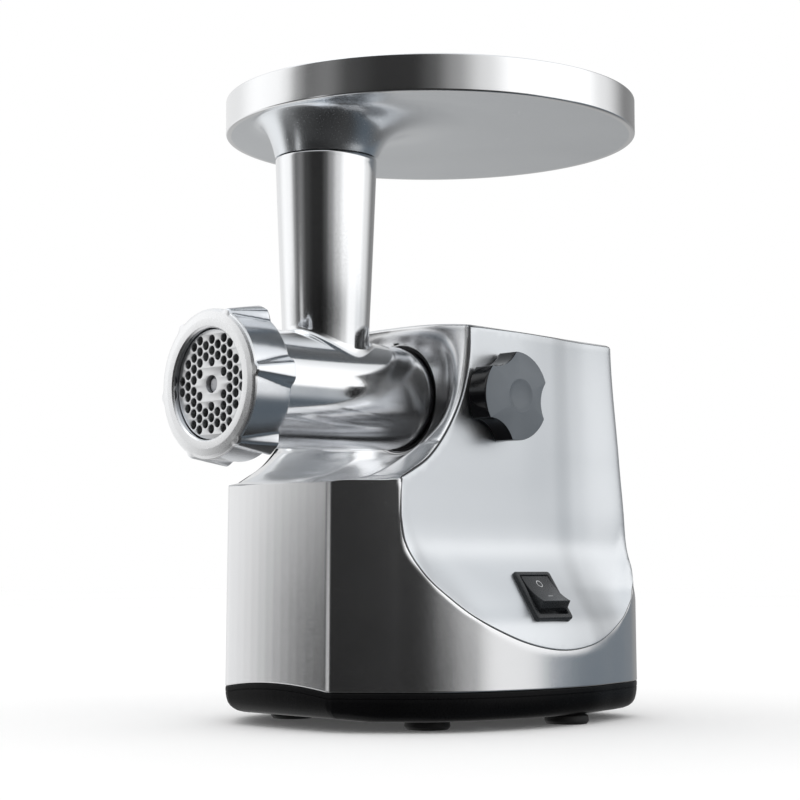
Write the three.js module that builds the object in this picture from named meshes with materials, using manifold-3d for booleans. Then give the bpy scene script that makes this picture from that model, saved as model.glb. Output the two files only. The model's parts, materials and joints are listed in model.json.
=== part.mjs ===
// Electric meat grinder with a round feed tray. Millimetres, +Z up, the ring nut faces -Y.
import * as THREE from "three";
import Module from "manifold-3d";
const wasm = await Module();
wasm.setup();

// ---- driving dimensions -------------------------------------------------
const AXIS_Z = 169; // height of the barrel, the auger and the output shaft
const GAP = 0.3; // between pieces that touch
const PLATE_R = 31; // No. 8 screen plate, 62 mm
const HOLE_R = 2.25;
const HOLE_PITCH = 5.5;
const TUBE_Y = 75.7; // axis of the feed tube
const TUBE_TOP = 290.3;
const TRAY_Y = 150.4; // centre of the round tray
const TRAY_R = 111;
const TRAY_Z0 = 312.4;
const TRAY_Z1 = 331.3;
const BASE_Z0 = 5; // underside of the base tray
const SEAM_Z = 19.6; // where the silver shell meets the base
const TOP_Z = 200; // top of the side walls
const WALL = 2.5;
const MID_Y = 130.1; // centre of the whole object, front to back
const KNOB = [134.5, 166]; // lock knob axis, y and z
const MOTOR_Z = 85;
const AX_A = [12, 114.1]; // gear A axis, x and z
const AX_B = [-8.99, 137.25]; // gear B axis
const TAU = Math.PI * 2;

// ---- small geometry kit --------------------------------------------------
function solid(v, t) {
  const make = (q) =>
    new wasm.Manifold(
      new wasm.Mesh({
        numProp: 3,
        vertProperties: new Float32Array(v.flat()),
        triVerts: new Uint32Array(q.flat()),
      }),
    );
  const m = make(t);
  return m.volume() < 0 ? make(t.map(([a, b, c]) => [a, c, b])) : m;
}
const centre = (r) => {
  const c = [0, 0, 0];
  for (const p of r) for (let i = 0; i < 3; i++) c[i] += p[i] / r.length;
  return c;
};
// Skin over rings of points; a ring of one point is a pole, and open ends get a fan.
function loft(rings) {
  const list = [...rings];
  if (list[0].length > 1) list.unshift([centre(list[0])]);
  if (list.at(-1).length > 1) list.push([centre(list.at(-1))]);
  const v = [],
    s = [],
    t = [];
  for (const r of list) {
    s.push(v.length);
    v.push(...r);
  }
  for (let k = 0; k + 1 < list.length; k++) {
    const na = list[k].length,
      nb = list[k + 1].length,
      n = Math.max(na, nb);
    for (let i = 0; i < n; i++) {
      const j = (i + 1) % n;
      const a0 = s[k] + (na === 1 ? 0 : i),
        a1 = s[k] + (na === 1 ? 0 : j),
        b0 = s[k + 1] + (nb === 1 ? 0 : i),
        b1 = s[k + 1] + (nb === 1 ? 0 : j);
      if (na > 1) t.push([a0, a1, b1]);
      if (nb > 1) t.push([a0, b1, b0]);
    }
  }
  return solid(v, t);
}
const put = (axis, u, w, h) =>
  axis === "z" ? [u, w, h] : axis === "y" ? [u, h, w] : [h, u, w];
// Turned solid. profile: [radius, height] pairs, on the axis at both ends or closed on itself.
function turn(profile, n, axis = "z", at = [0, 0]) {
  const ring = ([r, h]) =>
    r < 1e-6
      ? [put(axis, at[0], at[1], h)]
      : Array.from({ length: n }, (_, i) => {
          const a = (i * TAU) / n;
          return put(axis, at[0] + r * Math.cos(a), at[1] + r * Math.sin(a), h);
        });
  if (profile[0][0] < 1e-6) return loft(profile.map(ring));
  const v = [],
    t = [],
    m = profile.length;
  profile.forEach((p) => v.push(...ring(p)));
  for (let k = 0; k < m; k++)
    for (let i = 0; i < n; i++) {
      const j = (i + 1) % n,
        a = k * n,
        b = ((k + 1) % m) * n;
      t.push([a + i, a + j, b + j], [a + i, b + j, b + i]);
    }
  return solid(v, t);
}
const rod = (r, h0, h1, n, axis, at) =>
  turn([[0, h0], [r, h0], [r, h1], [0, h1]], n, axis, at);
const pipe = (r0, r1, h0, h1, n, axis, at) =>
  turn([[r0, h0], [r1, h0], [r1, h1], [r0, h1]], n, axis, at);
// Flat outline with holes, pushed from h0 to h1 along an axis.
function prism(outline, holes, h0, h1, axis) {
  const V = (p) => new THREE.Vector2(p[0], p[1]);
  const area = (q) =>
    q.reduce((s, p, i) => {
      const n = q[(i + 1) % q.length];
      return s + p[0] * n[1] - n[0] * p[1];
    }, 0);
  const out = area(outline) > 0 ? outline : [...outline].reverse();
  const ins = holes.map((q) => (area(q) < 0 ? q : [...q].reverse()));
  const faces = THREE.ShapeUtils.triangulateShape(
    out.map(V),
    ins.map((q) => q.map(V)),
  );
  const all = [out, ...ins].flat(),
    n = all.length;
  const v = [
    ...all.map((p) => put(axis, p[0], p[1], h0)),
    ...all.map((p) => put(axis, p[0], p[1], h1)),
  ];
  const t = [];
  for (const [a, b, c] of faces) t.push([a, c, b], [a + n, b + n, c + n]);
  let s = 0;
  for (const q of [out, ...ins]) {
    for (let i = 0; i < q.length; i++) {
      const a = s + i,
        b = s + ((i + 1) % q.length);
      t.push([a, b, b + n], [a, b + n, a + n]);
    }
    s += q.length;
  }
  return solid(v, t);
}
const box = (x0, x1, y0, y1, z0, z1) =>
  prism([[x0, y0], [x1, y0], [x1, y1], [x0, y1]], [], z0, z1, "z");
const disc2 = (r, n, at = [0, 0], turn0 = 0) =>
  Array.from({ length: n }, (_, i) => {
    const a = (i * TAU) / n + turn0;
    return [at[0] + r * Math.cos(a), at[1] + r * Math.sin(a)];
  });
const cut = (a, ...b) => b.reduce((m, q) => m.subtract(q), a);
const join = (a, ...b) => b.reduce((m, q) => m.add(q), a);
const meet = (a, ...b) => b.reduce((m, q) => m.intersect(q), a);
const table = (rows, x) => {
  if (x <= rows[0][0]) return rows[0][1];
  for (let i = 1; i < rows.length; i++)
    if (x <= rows[i][0]) {
      const [x0, y0] = rows[i - 1],
        [x1, y1] = rows[i];
      return y0 + ((y1 - y0) * (x - x0)) / (x1 - x0);
    }
  return rows.at(-1)[1];
};
// Moves each side of a closed outline inwards by d.
function inset(poly, d) {
  const n = poly.length;
  const area = poly.reduce((s, p, i) => {
    const q = poly[(i + 1) % n];
    return s + p[0] * q[1] - q[0] * p[1];
  }, 0);
  const sg = area > 0 ? 1 : -1;
  return poly.map((p, i) => {
    const a = poly[(i + n - 1) % n],
      b = poly[(i + 1) % n];
    const e1 = [p[0] - a[0], p[1] - a[1]],
      e2 = [b[0] - p[0], b[1] - p[1]];
    const l1 = Math.hypot(...e1),
      l2 = Math.hypot(...e2);
    const n1 = [(-e1[1] / l1) * sg, (e1[0] / l1) * sg],
      n2 = [(-e2[1] / l2) * sg, (e2[0] / l2) * sg];
    const m = [n1[0] + n2[0], n1[1] + n2[1]];
    const k = Math.max(0.35, (m[0] * n1[0] + m[1] * n1[1]) / 1);
    return [p[0] + (m[0] * d) / k, p[1] + (m[1] * d) / k];
  });
}

// ---- body surfaces -------------------------------------------------------
// Plan outline of the skirt at the base, right half, front to back.
const SKIRT = [
  [0, 42.4], [37.6, 42.5], [40, 43.2], [52.5, 53], [64.7, 65.5],
  [77.7, 79], [85.7, 98], [90.7, 121],
  [92.7, 146], [89.7, 179], [82.2, 203], [77.5, 221], [74.2, 230],
  [68, 239.5], [58, 247], [45, 250.5], [0, 251],
];
const mirror = (half) => [
  ...half,
  ...half.slice(1, -1).reverse().map(([x, y]) => [-x, y]),
];
const skirtAt = (z, d) => inset(mirror(SKIRT), d + (z - SEAM_Z) * 0.009);
// Half width of the side panels by depth, and how they flare towards the floor.
const WIDE = [
  [30, 64.2], [100, 65], [150, 65], [177, 62.8], [195, 59.4],
  [210, 57.8], [230, 57], [236, 53], [241, 45], [244, 34], [245.2, 0],
];
const FLARE = [
  [10, 37], [37.5, 27.9], [46.7, 25.8], [52.5, 23.8],
  [65.6, 14.9], [74.3, 9], [79, 5.9], [84, 3.2],
  [94, 0.6], [122, 0], [260, 0],
];
// The flare eases off at the back, and the back corner opens out below the top.
const FADE = [
  [0, 1], [177, 1], [222, 0.93], [236, 0.85], [300, 0.85],
];
const OPEN_Z = [
  [0, 0], [57, 0], [68, 0.5], [74, 3], [82, 5.8],
  [90, 6.8], [99, 7], [136, 4.4], [200, 0], [300, 0],
];
const OPEN_Y = [
  [0, 0], [150, 0], [177, 0.25], [200, 0.6], [215, 0.85], [228, 1], [300, 1],
];
const leanAt = (z) => (6 * (TOP_Z - z)) / 180;
const halfWidth = (t, y, z) => t + table(FLARE, z) * table(FADE, y) + table(OPEN_Z, z) * table(OPEN_Y, y);
function panelRing(z, d) {
  const half = WIDE.map(([y, t]) => {
    const lean = y > 200 ? (leanAt(z) * (y - 200)) / 45 : 0;
    return [t === 0 ? 0 : halfWidth(t, y, z) - d, y + lean];
  });
  // keep the rear wall d further in
  return half.map(([x, y], i) => (i >= 7 ? [x, y - d] : [x, y]));
}
function panelBody(levels, d, top) {
  return loft(
    levels.map((z) => {
      const h = panelRing(Math.min(z, top), d);
      const ring = [[0, h[0][1]], ...h];
      return mirror(ring).map(([x, y]) => [x, y, z]);
    }),
  );
}
const LEVELS = [
  10, 37.5, 46.7, 52.5, 65.6, 74.3, 79, 84, 94, 122, 136, 230,
];
const column = (d) =>
  loft([10, 121.9, 230].map((z) => skirtAt(z, d).map(([x, y]) => [x, y, z])));
// Crowned top: highest on the centre line, rolled down to the sides.
const CROWN = [
  [0, 205.2], [34, 204.2], [57, 202], [64, 200.6], [65.3, 197.5],
];
const crown = (d) => {
  const half = CROWN.map(([x, z]) => [x, z - d]);
  const side = [[140, half.at(-1)[1] - 60]];
  const right = [...half, ...side];
  const pts = [
    ...right,
    [140, 0],
    [-140, 0],
    ...right.slice(1).reverse().map(([x, z]) => [-x, z]),
  ];
  return prism(pts, [], 0, 300, "y");
};
// The concave seat: rings round the barrel axis, from the round socket out past the shell.
const CREASE = [
  [0, 42.4, 121.6], [20, 42.4, 121.6], [39.3, 43.6, 121.7],
  [40.2, 60, 126.2], [43, 77.5, 133.4], [45.8, 86.8, 139.7], [48.9, 96.2, 147.2],
  [51.5, 106.2, 156.6], [53, 110.9, 166.8], [52.6, 113.4, 177.2], [50.4, 115.4, 186],
  [44, 117.2, 193.3], [31, 118.4, 198.4], [16, 119, 201], [0, 119.2, 201.8],
];
const LIP = [
  [0, 32, 121.5], [20, 32, 121.5], [45, 42.5, 121.6], [53, 53.4, 122],
  [64.9, 65.6, 122.5], [65, 75.3, 127.6], [65, 86.6, 134.4], [65, 97.9, 146.4],
  [65, 107.2, 161.5], [65, 111.9, 174.5], [65, 114.3, 187.2], [61, 115.5, 200],
  [41, 117, 203.2], [20, 118.2, 204.6], [0, 118.5, 205],
];
function seat(grow) {
  const full = (half) => [...half, ...half.slice(1, -1).reverse().map(([x, y, z]) => [-x, y, z])];
  const C = full(CREASE),
    L = full(LIP);
  const dir = C.map(([x, , z]) => {
    const l = Math.hypot(x, z - AXIS_Z);
    return [x / l, (z - AXIS_Z) / l];
  });
  const out = (p, i) => [p[0] + dir[i][0] * grow, p[1] + grow, p[2] + dir[i][1] * grow];
  const P0 = dir.map(([a, b]) => [30 * a, 127, AXIS_Z + 30 * b]);
  const rings = [];
  rings.push(P0.map((p, i) => out([p[0], 134, p[2]], i)));
  rings.push(P0.map(out));
  for (const t of [0.33, 0.67])
    rings.push(
      P0.map((p, i) => {
        const c = C[i];
        const m = [c[0] * 0.9, 127 - 0.18 * (127 - c[1]), c[2]];
        return out(
          [0, 1, 2].map((k) => (1 - t) ** 2 * p[k] + 2 * t * (1 - t) * m[k] + t * t * c[k]),
          i,
        );
      }),
    );
  rings.push(C.map(out));
  rings.push(L.map(out));
  const F = L.map((p, i) => {
    const c = C[i];
    const d = [p[0] - c[0], p[1] - c[1], p[2] - c[2]];
    const l = Math.hypot(...d);
    return [p[0] + (d[0] / l) * 42, p[1] + (d[1] / l) * 42, p[2] + (d[2] / l) * 42];
  });
  rings.push(F.map(out));
  rings.push(F.map((p, i) => [out(p, i)[0], -70, out(p, i)[2]]));
  return loft(rings);
}
// Height at which a side panel runs out on the skirt wall, at depth y.
function edgeZ(y) {
  const wall = table(SKIRT.map(([x, q]) => [q, x]).filter((_, i) => i > 1), y);
  const t = table(WIDE, y);
  for (let z = 121; z > 20; z -= 0.1)
    if (halfWidth(t, y, z) > wall - (z - SEAM_Z) * 0.009) return z;
  return 20;
}
// Outline of a side cover, y and z.
const COVER = [
  [114.8, 203], [114.3, 187.2], [111.9, 174.5], [107.2, 161.5], [97.9, 146.4],
  [86.6, 134.4], [75.3, 127.6], [67.2, 123.2],
  ...[66.4, 68, 71, 75.7, 83.3, 98.7, 112.8, 127.5, 143.8, 160, 177, 194.5, 207, 216, 222, 227].map((y) => [y, edgeZ(y)]),
  [231, 63.5], [234, 70], [235.6, 80], [236, 95], [236, 203],
];

const nodes = {};
const outer = meet(column(0), panelBody(LEVELS, 0, TOP_Z), crown(0));
const shaped = cut(outer, seat(0));
const rear = { x: 44, z0: 50, z1: 182 };

// ---- switch placement ----------------------------------------------------
const SW = { y: 150, z: 64.6, x: 80.6, tilt: (36 * Math.PI) / 180 };
// local (u along y, v up the slope, n outwards) to the body frame
const swPoint = (u, v, n) => [
  SW.x + n * Math.cos(SW.tilt) - v * Math.sin(SW.tilt),
  SW.y + u,
  SW.z + n * Math.sin(SW.tilt) + v * Math.cos(SW.tilt),
];
const swBox = (u, v, n0, n1) =>
  loft(
    [n0, n1].map((n) =>
      [[-u, -v], [u, -v], [u, v], [-u, v]].map(([a, b]) => swPoint(a, b, n)),
    ),
  );

// ---- shell ---------------------------------------------------------------
const low = box(-150, 150, 0, 300, 0, SEAM_Z + GAP / 2);
{
  const hollow = cut(
    meet(column(WALL), panelBody([5, 37.5, 52.5, 74.3, 84, 94, 136, 230], 5, TOP_Z), crown(3)),
    seat(2.6),
  );
  const backOpen = box(-rear.x, rear.x, 232, 280, rear.z0, rear.z1);
  let shell = cut(shaped, low, hollow, rod(29.9, 120, 150, 32, "y", [0, AXIS_Z]));
  shell = cut(shell, backOpen);
  const pocketIn = panelBody(LEVELS, WALL, TOP_Z);
  for (const s of [1, -1]) {
    const region = prism(inset(COVER, 1.0), [], Math.min(20 * s, 120 * s), Math.max(20 * s, 120 * s), "x");
    shell = cut(shell, cut(region, pocketIn));
    const core = panelBody(LEVELS, 2.2, TOP_Z);
    const edge = prism(inset(COVER, 1.0 + GAP), [], Math.min(20 * s, 120 * s), Math.max(20 * s, 120 * s), "x");
    let cover = cut(meet(shaped, edge), core);
    if (s > 0) {
      cover = cut(cover, swBox(13.3, 14.8, -30, 20), rod(9, 40, 90, 20, "x", KNOB));
    }
    const parts = cover.decompose();
    parts.sort((a, b) => b.volume() - a.volume());
    nodes[s > 0 ? "right_side_cover" : "left_side_cover"] = parts[0];
  }
  shell = cut(shell, swBox(13.6, 15.1, -30, 20), rod(4.6, 40, 90, 16, "x", KNOB));
  // screw ribs inside the skirt
  for (const sx of [1, -1])
    for (const y of [124, 200]) {
      const x0 = y < 150 ? 58 : 54;
      const rib = meet(
        box(Math.min(sx * x0, sx * 110), Math.max(sx * x0, sx * 110), y - 6, y + 6, SEAM_Z + 0.4, 34),
        column(0.8),
        panelBody(LEVELS, 0.8, TOP_Z),
      );
      shell = join(shell, rib);
      shell = cut(shell, rod(2.2, 10, 31, 12, "z", [sx * (x0 + 7), y]));
    }
  shell = cut(shell, rod(7.3, 235, 260, 16, "y", [-30, 34]));
  const parts = shell.decompose();
  parts.sort((a, b) => b.volume() - a.volume());
  nodes.main_housing = parts[0];
  let back = cut(
    meet(shaped, box(-rear.x + GAP, rear.x - GAP, 232, 280, rear.z0 + GAP, rear.z1 - GAP)),
    meet(column(WALL), panelBody(LEVELS, WALL, TOP_Z)),
  );
  for (let k = 0; k < 7; k++)
    back = cut(back, box(-34, 34, 230, 270, 66 + k * 9, 69.6 + k * 9));
  nodes.rear_cover = back;
}
// ---- base ----------------------------------------------------------------
{
  const foot = [[52, 98], [-52, 98], [73, 177], [-73, 177]];
  const screwAt = [[65, 124], [-65, 124], [61, 200], [-61, 200]];
  const ring = (d, z) => inset(mirror(SKIRT), d).map(([x, y]) => [x, y, z]);
  let base = loft([ring(9, BASE_Z0), ring(4, 6.4), ring(1.2, 11.5), ring(0.2, SEAM_Z - GAP / 2)]);
  base = cut(base, loft([ring(11, BASE_Z0 + 3), ring(3.6, 12), ring(3.2, 30)]));
  for (const [x, y] of screwAt) base = join(base, rod(7, BASE_Z0 + 1, SEAM_Z - 0.2, 16, "z", [x, y]));
  for (const [x, y] of foot) base = join(base, rod(6.5, BASE_Z0 + 1, 12, 12, "z", [x, y]));
  for (const [x, y] of screwAt)
    base = cut(base, rod(4.6, 0, 9, 12, "z", [x, y]), rod(2.3, 0, 30, 12, "z", [x, y]));
  for (const [x, y] of foot) base = cut(base, rod(4.3, 0, 10, 12, "z", [x, y]));
  for (let k = 0; k < 4; k++) base = cut(base, box(-28, 28, 190 + k * 10, 194 + k * 10, 0, 12));
  nodes.base_tray = base;
  foot.forEach(([x, y], i) => {
    nodes["foot_" + (i + 1)] = turn(
      [[0, 0], [10.6, 0], [11.5, 1.4], [11.2, BASE_Z0 - GAP], [4, BASE_Z0 - GAP], [4, 9], [0, 9]],
      14, "z", [x, y],
    );
  });
  screwAt.forEach(([x, y], i) => {
    nodes["base_screw_" + (i + 1)] = turn(
      [[0, 5.8], [4.2, 5.8], [4.2, 8.6], [1.9, 8.7], [1.9, 29], [0, 29]],
      8, "z", [x, y],
    );
  });
  nodes.cord_gland = turn(
    [[3.6, 239], [7, 239], [7, 252.2], [9.4, 252.2], [9.4, 254.4], [6, 257], [3.6, 257]],
    14, "y", [-30, 34],
  );
}
// ---- grinder head --------------------------------------------------------
{
  const A = [0, AXIS_Z];
  const barrel = turn(
    [[0, 7], [34, 7], [34, 20], [30.6, 22.8], [29.7, 50], [28.5, 85], [27.8, 110], [27.3, 120], [26.3, 126], [25, 127.4], [25, 137.6], [0, 137.6]],
    36, "y", A,
  );
  const tube = turn(
    [[0, AXIS_Z], [21.4, AXIS_Z], [22.3, 196], [24.4, 243], [26.2, TUBE_TOP], [0, TUBE_TOP]],
    32, "z", [0, TUBE_Y],
  );
  const bore = turn(
    [[0, 5], [31.3, 5], [31.3, 10.6], [27.6, 10.6], [27.2, 24], [25.4, 100], [24, 106], [7.5, 106], [7.5, 140], [0, 140]],
    32, "y", A,
  );
  const throat = turn([[0, AXIS_Z], [18.6, AXIS_Z], [19.6, 196], [24, 272], [24, 300], [0, 300]], 28, "z", [0, TUBE_Y]);
  nodes.head_casting = cut(join(barrel, tube), bore, throat);

  const holes = [];
  const dx = (HOLE_PITCH * Math.sqrt(3)) / 2;
  for (let i = -6; i <= 6; i++)
    for (let j = -6; j <= 6; j++) {
      const x = i * dx,
        z = (j + (i & 1 ? 0.5 : 0)) * HOLE_PITCH,
        r = Math.hypot(x, z);
      if (r > 10.5 && r < 24.3) holes.push(disc2(HOLE_R, 5, [x, AXIS_Z + z]));
    }
  // the drilled centre stands forward inside the ring nut's opening
  nodes.screen_plate = cut(
    turn([[0, 2.2], [26.9, 2.2], [26.9, 5.4], [PLATE_R, 5.4], [PLATE_R, 10.3], [0, 10.3]], 48, "y", A),
    ...[disc2(4.35, 12, A), ...holes].map((h) => prism(h, [], 1, 12, "y")),
  );

  const cross = [];
  for (let k = 0; k < 4; k++) {
    const a = (k * TAU) / 4 + 0.3;
    const c = Math.cos(a),
      s = Math.sin(a);
    for (const [r, w] of [[9, -5], [26.4, -5.5], [26.6, 1], [9, 4]])
      cross.push([c * r - s * w, AXIS_Z + s * r + c * w]);
  }
  nodes.knife = join(
    prism(cross, [disc2(5.4, 4, A, Math.PI / 4)], 10.7, 14.5, "y"),
    prism(disc2(9.6, 16, A), [disc2(5.4, 4, A, Math.PI / 4)], 12, 19, "y"),
  );
  // auger: a radial surface, so the flight is one closed skin
  const rings = [];
  const N = 16,
    pitch = 28;
  for (let k = 0; k <= 24; k++) {
    const y = 19.4 + (k * (104.6 - 19.4)) / 24;
    const top = 26.4 - ((y - 19.4) / 85) * 2.2;
    const core = 9.6 + ((y - 19.4) / 85) * 1.5;
    const fade = Math.min(1, (104.8 - y) / 8, (y - 17) / 6);
    rings.push(
      Array.from({ length: N }, (_, i) => {
        const a = (i * TAU) / N;
        let p = (a - (TAU * y) / pitch) % TAU;
        if (p < 0) p += TAU;
        const d = Math.min(p, TAU - p);
        const w = d < 0.4 ? 1 : d < 0.9 ? 1 - (d - 0.4) / 0.5 : 0;
        const r = core + (top - core) * w * fade;
        return [r * Math.cos(a), y, AXIS_Z + r * Math.sin(a)];
      }),
    );
  }
  nodes.auger = join(
    loft(rings),
    prism(disc2(5.0, 4, A, Math.PI / 4), [], 10.6, 21, "y"),
    turn([[0, 3.6], [3.2, 3.6], [4.0, 4.4], [4.0, 10.3], [3.4, 10.4], [3.4, 12], [0, 12]], 16, "y", A),
    rod(7, 103, 139, 20, "y", A),
    prism(disc2(4.9, 6, A), [], 137, 149, "y"),
  );
  // ring nut with six ribs
  const nutAt = ([r, y]) => [r, y];
  let nut = turn(
    [[27.5, 1.4], [28.4, 0.6], [35.6, -1.1], [36.8, -0.4], [37.1, 1.4], [37.3, 21.4], [36.6, 22.5], [34.5, 22.5], [34.5, 6.6], [33, 5], [27.5, 5]].map(nutAt),
    42, "y", A,
  );
  for (let k = 0; k < 6; k++) {
    const a = ((7.5 + 60 * k) * Math.PI) / 180;
    const rib = [0.4, 22.3].map((y, q) => {
      const up = [38.6, 40.8][q],
        half = [3, 6.6][q];
      return [[36, -half - 1.6], [37.6, -half], [up, -half * 0.42], [up, half * 0.42], [37.6, half], [36, half + 1.6]].map(
        ([r, w]) => [r * Math.cos(a) - w * Math.sin(a), y, AXIS_Z + r * Math.sin(a) + w * Math.cos(a)],
      );
    });
    nut = join(nut, loft(rib));
  }
  nodes.ring_nut = nut;
  nodes.socket_collar = turn(
    [[25.5, 128.4], [28.8, 127.8], [29.5, 128.8], [29.5, 136.9], [31.6, 136.9], [31.6, 140.6], [25.5, 140.6]],
    28, "y", A,
  );
}
// ---- tray ----------------------------------------------------------------
{
  const T = [0, TRAY_Y];
  const dish = turn(
    [[0, TRAY_Z0], [TRAY_R - 3, TRAY_Z0], [TRAY_R - 0.9, TRAY_Z0 + 0.9], [TRAY_R, TRAY_Z0 + 3], [TRAY_R, TRAY_Z1], [TRAY_R - 2, TRAY_Z1], [TRAY_R - 2.2, TRAY_Z0 + 4], [TRAY_R - 4.6, TRAY_Z0 + 2], [0, TRAY_Z0 + 2]],
    52, "z", T,
  );
  const steps = [
    [290.7, 26.4, 0], [299, 30, 1.2], [305, 34.6, 3.9], [309.6, 42, 9.8], [312.5, 56, 22.2],
  ];
  const funnel = (d, z0, lift) => [
    ...steps.map(([z, r, y]) => disc2(r - d, 28, [0, TUBE_Y + y]).map(([a, b]) => [a, b, z + lift])),
  ];
  const body = join(dish, loft([...funnel(0, 0, 0), disc2(56, 28, [0, TUBE_Y + 22.2]).map(([a, b]) => [a, b, 314])]),
    rod(23.5, 274, 292, 28, "z", [0, TUBE_Y]));
  nodes.feed_tray = cut(
    body,
    loft([disc2(21.5, 28, [0, TUBE_Y]).map(([a, b]) => [a, b, 260]), disc2(21.5, 28, [0, TUBE_Y]).map(([a, b]) => [a, b, 288]), ...funnel(2.3, 0, 1.2), disc2(54, 28, [0, TUBE_Y + 22.2]).map(([a, b]) => [a, b, 316])]),
  );
}
// ---- lock knob and rocker ------------------------------------------------
{
  const outline = (k) =>
    Array.from({ length: 36 }, (_, i) => {
      const a = (i * TAU) / 36;
      let r = 22.5;
      for (const c of [115.6, -4.2, -123.8]) {
        let d = a - (c * Math.PI) / 180;
        d = Math.atan2(Math.sin(d), Math.cos(d));
        const w = 0.56;
        if (Math.abs(d) < w) r -= 4.6 * Math.cos((d / w) * (Math.PI / 2)) ** 1.2;
      }
      return [KNOB[0] + r * k * Math.cos(a), KNOB[1] + r * k * Math.sin(a)];
    });
  const lay = (k, x) => outline(k).map(([y, z]) => [x, y, z]);
  nodes.lock_knob = cut(
    loft([lay(0.95, 66.6), lay(1, 68), lay(1, 79.8), lay(0.95, 81.6), lay(0.36, 83.7), lay(0.3, 82.8)]),
    rod(4.3, 60, 77, 16, "x", KNOB),
  );
  nodes.lock_spindle = join(
    rod(4, 47, 76.6, 16, "x", KNOB),
    loft([47, 52].map((x) => disc2(4.8, 16, [KNOB[0] + 2.6, KNOB[1]]).map(([y, z]) => [x, y, z]))),
  );
  nodes.switch_body = cut(
    loft([
      ...[[13, 14.5, -18], [13, 14.5, 2], [12.2, 13.7, 3]].map(([u, v, n]) =>
        [[-u, -v], [u, -v], [u, v], [-u, v]].map(([a, b]) => swPoint(a, b, n)),
      ),
    ]),
    swBox(10.3, 11.8, -8, 6),
  );
  // rocker, standing with its lower end out
  const tip = (-16 * Math.PI) / 180;
  const prof = [
    [-9.9, 6], [-5, 5], [0, 4.6], [5, 5], [9.9, 6], [10.6, 2],
    [9.6, -4], [4, -5.4], [-4, -5.4], [-9.6, -4], [-10.6, 2],
  ];
  nodes.rocker_key = loft(
    [-9.8, 9.8].map((u) =>
      prof.map(([v, n]) => {
        const c = Math.cos(tip),
          s = Math.sin(tip);
        return swPoint(u, v * c - n * s, v * s + n * c);
      }),
    ),
  );
}
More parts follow.
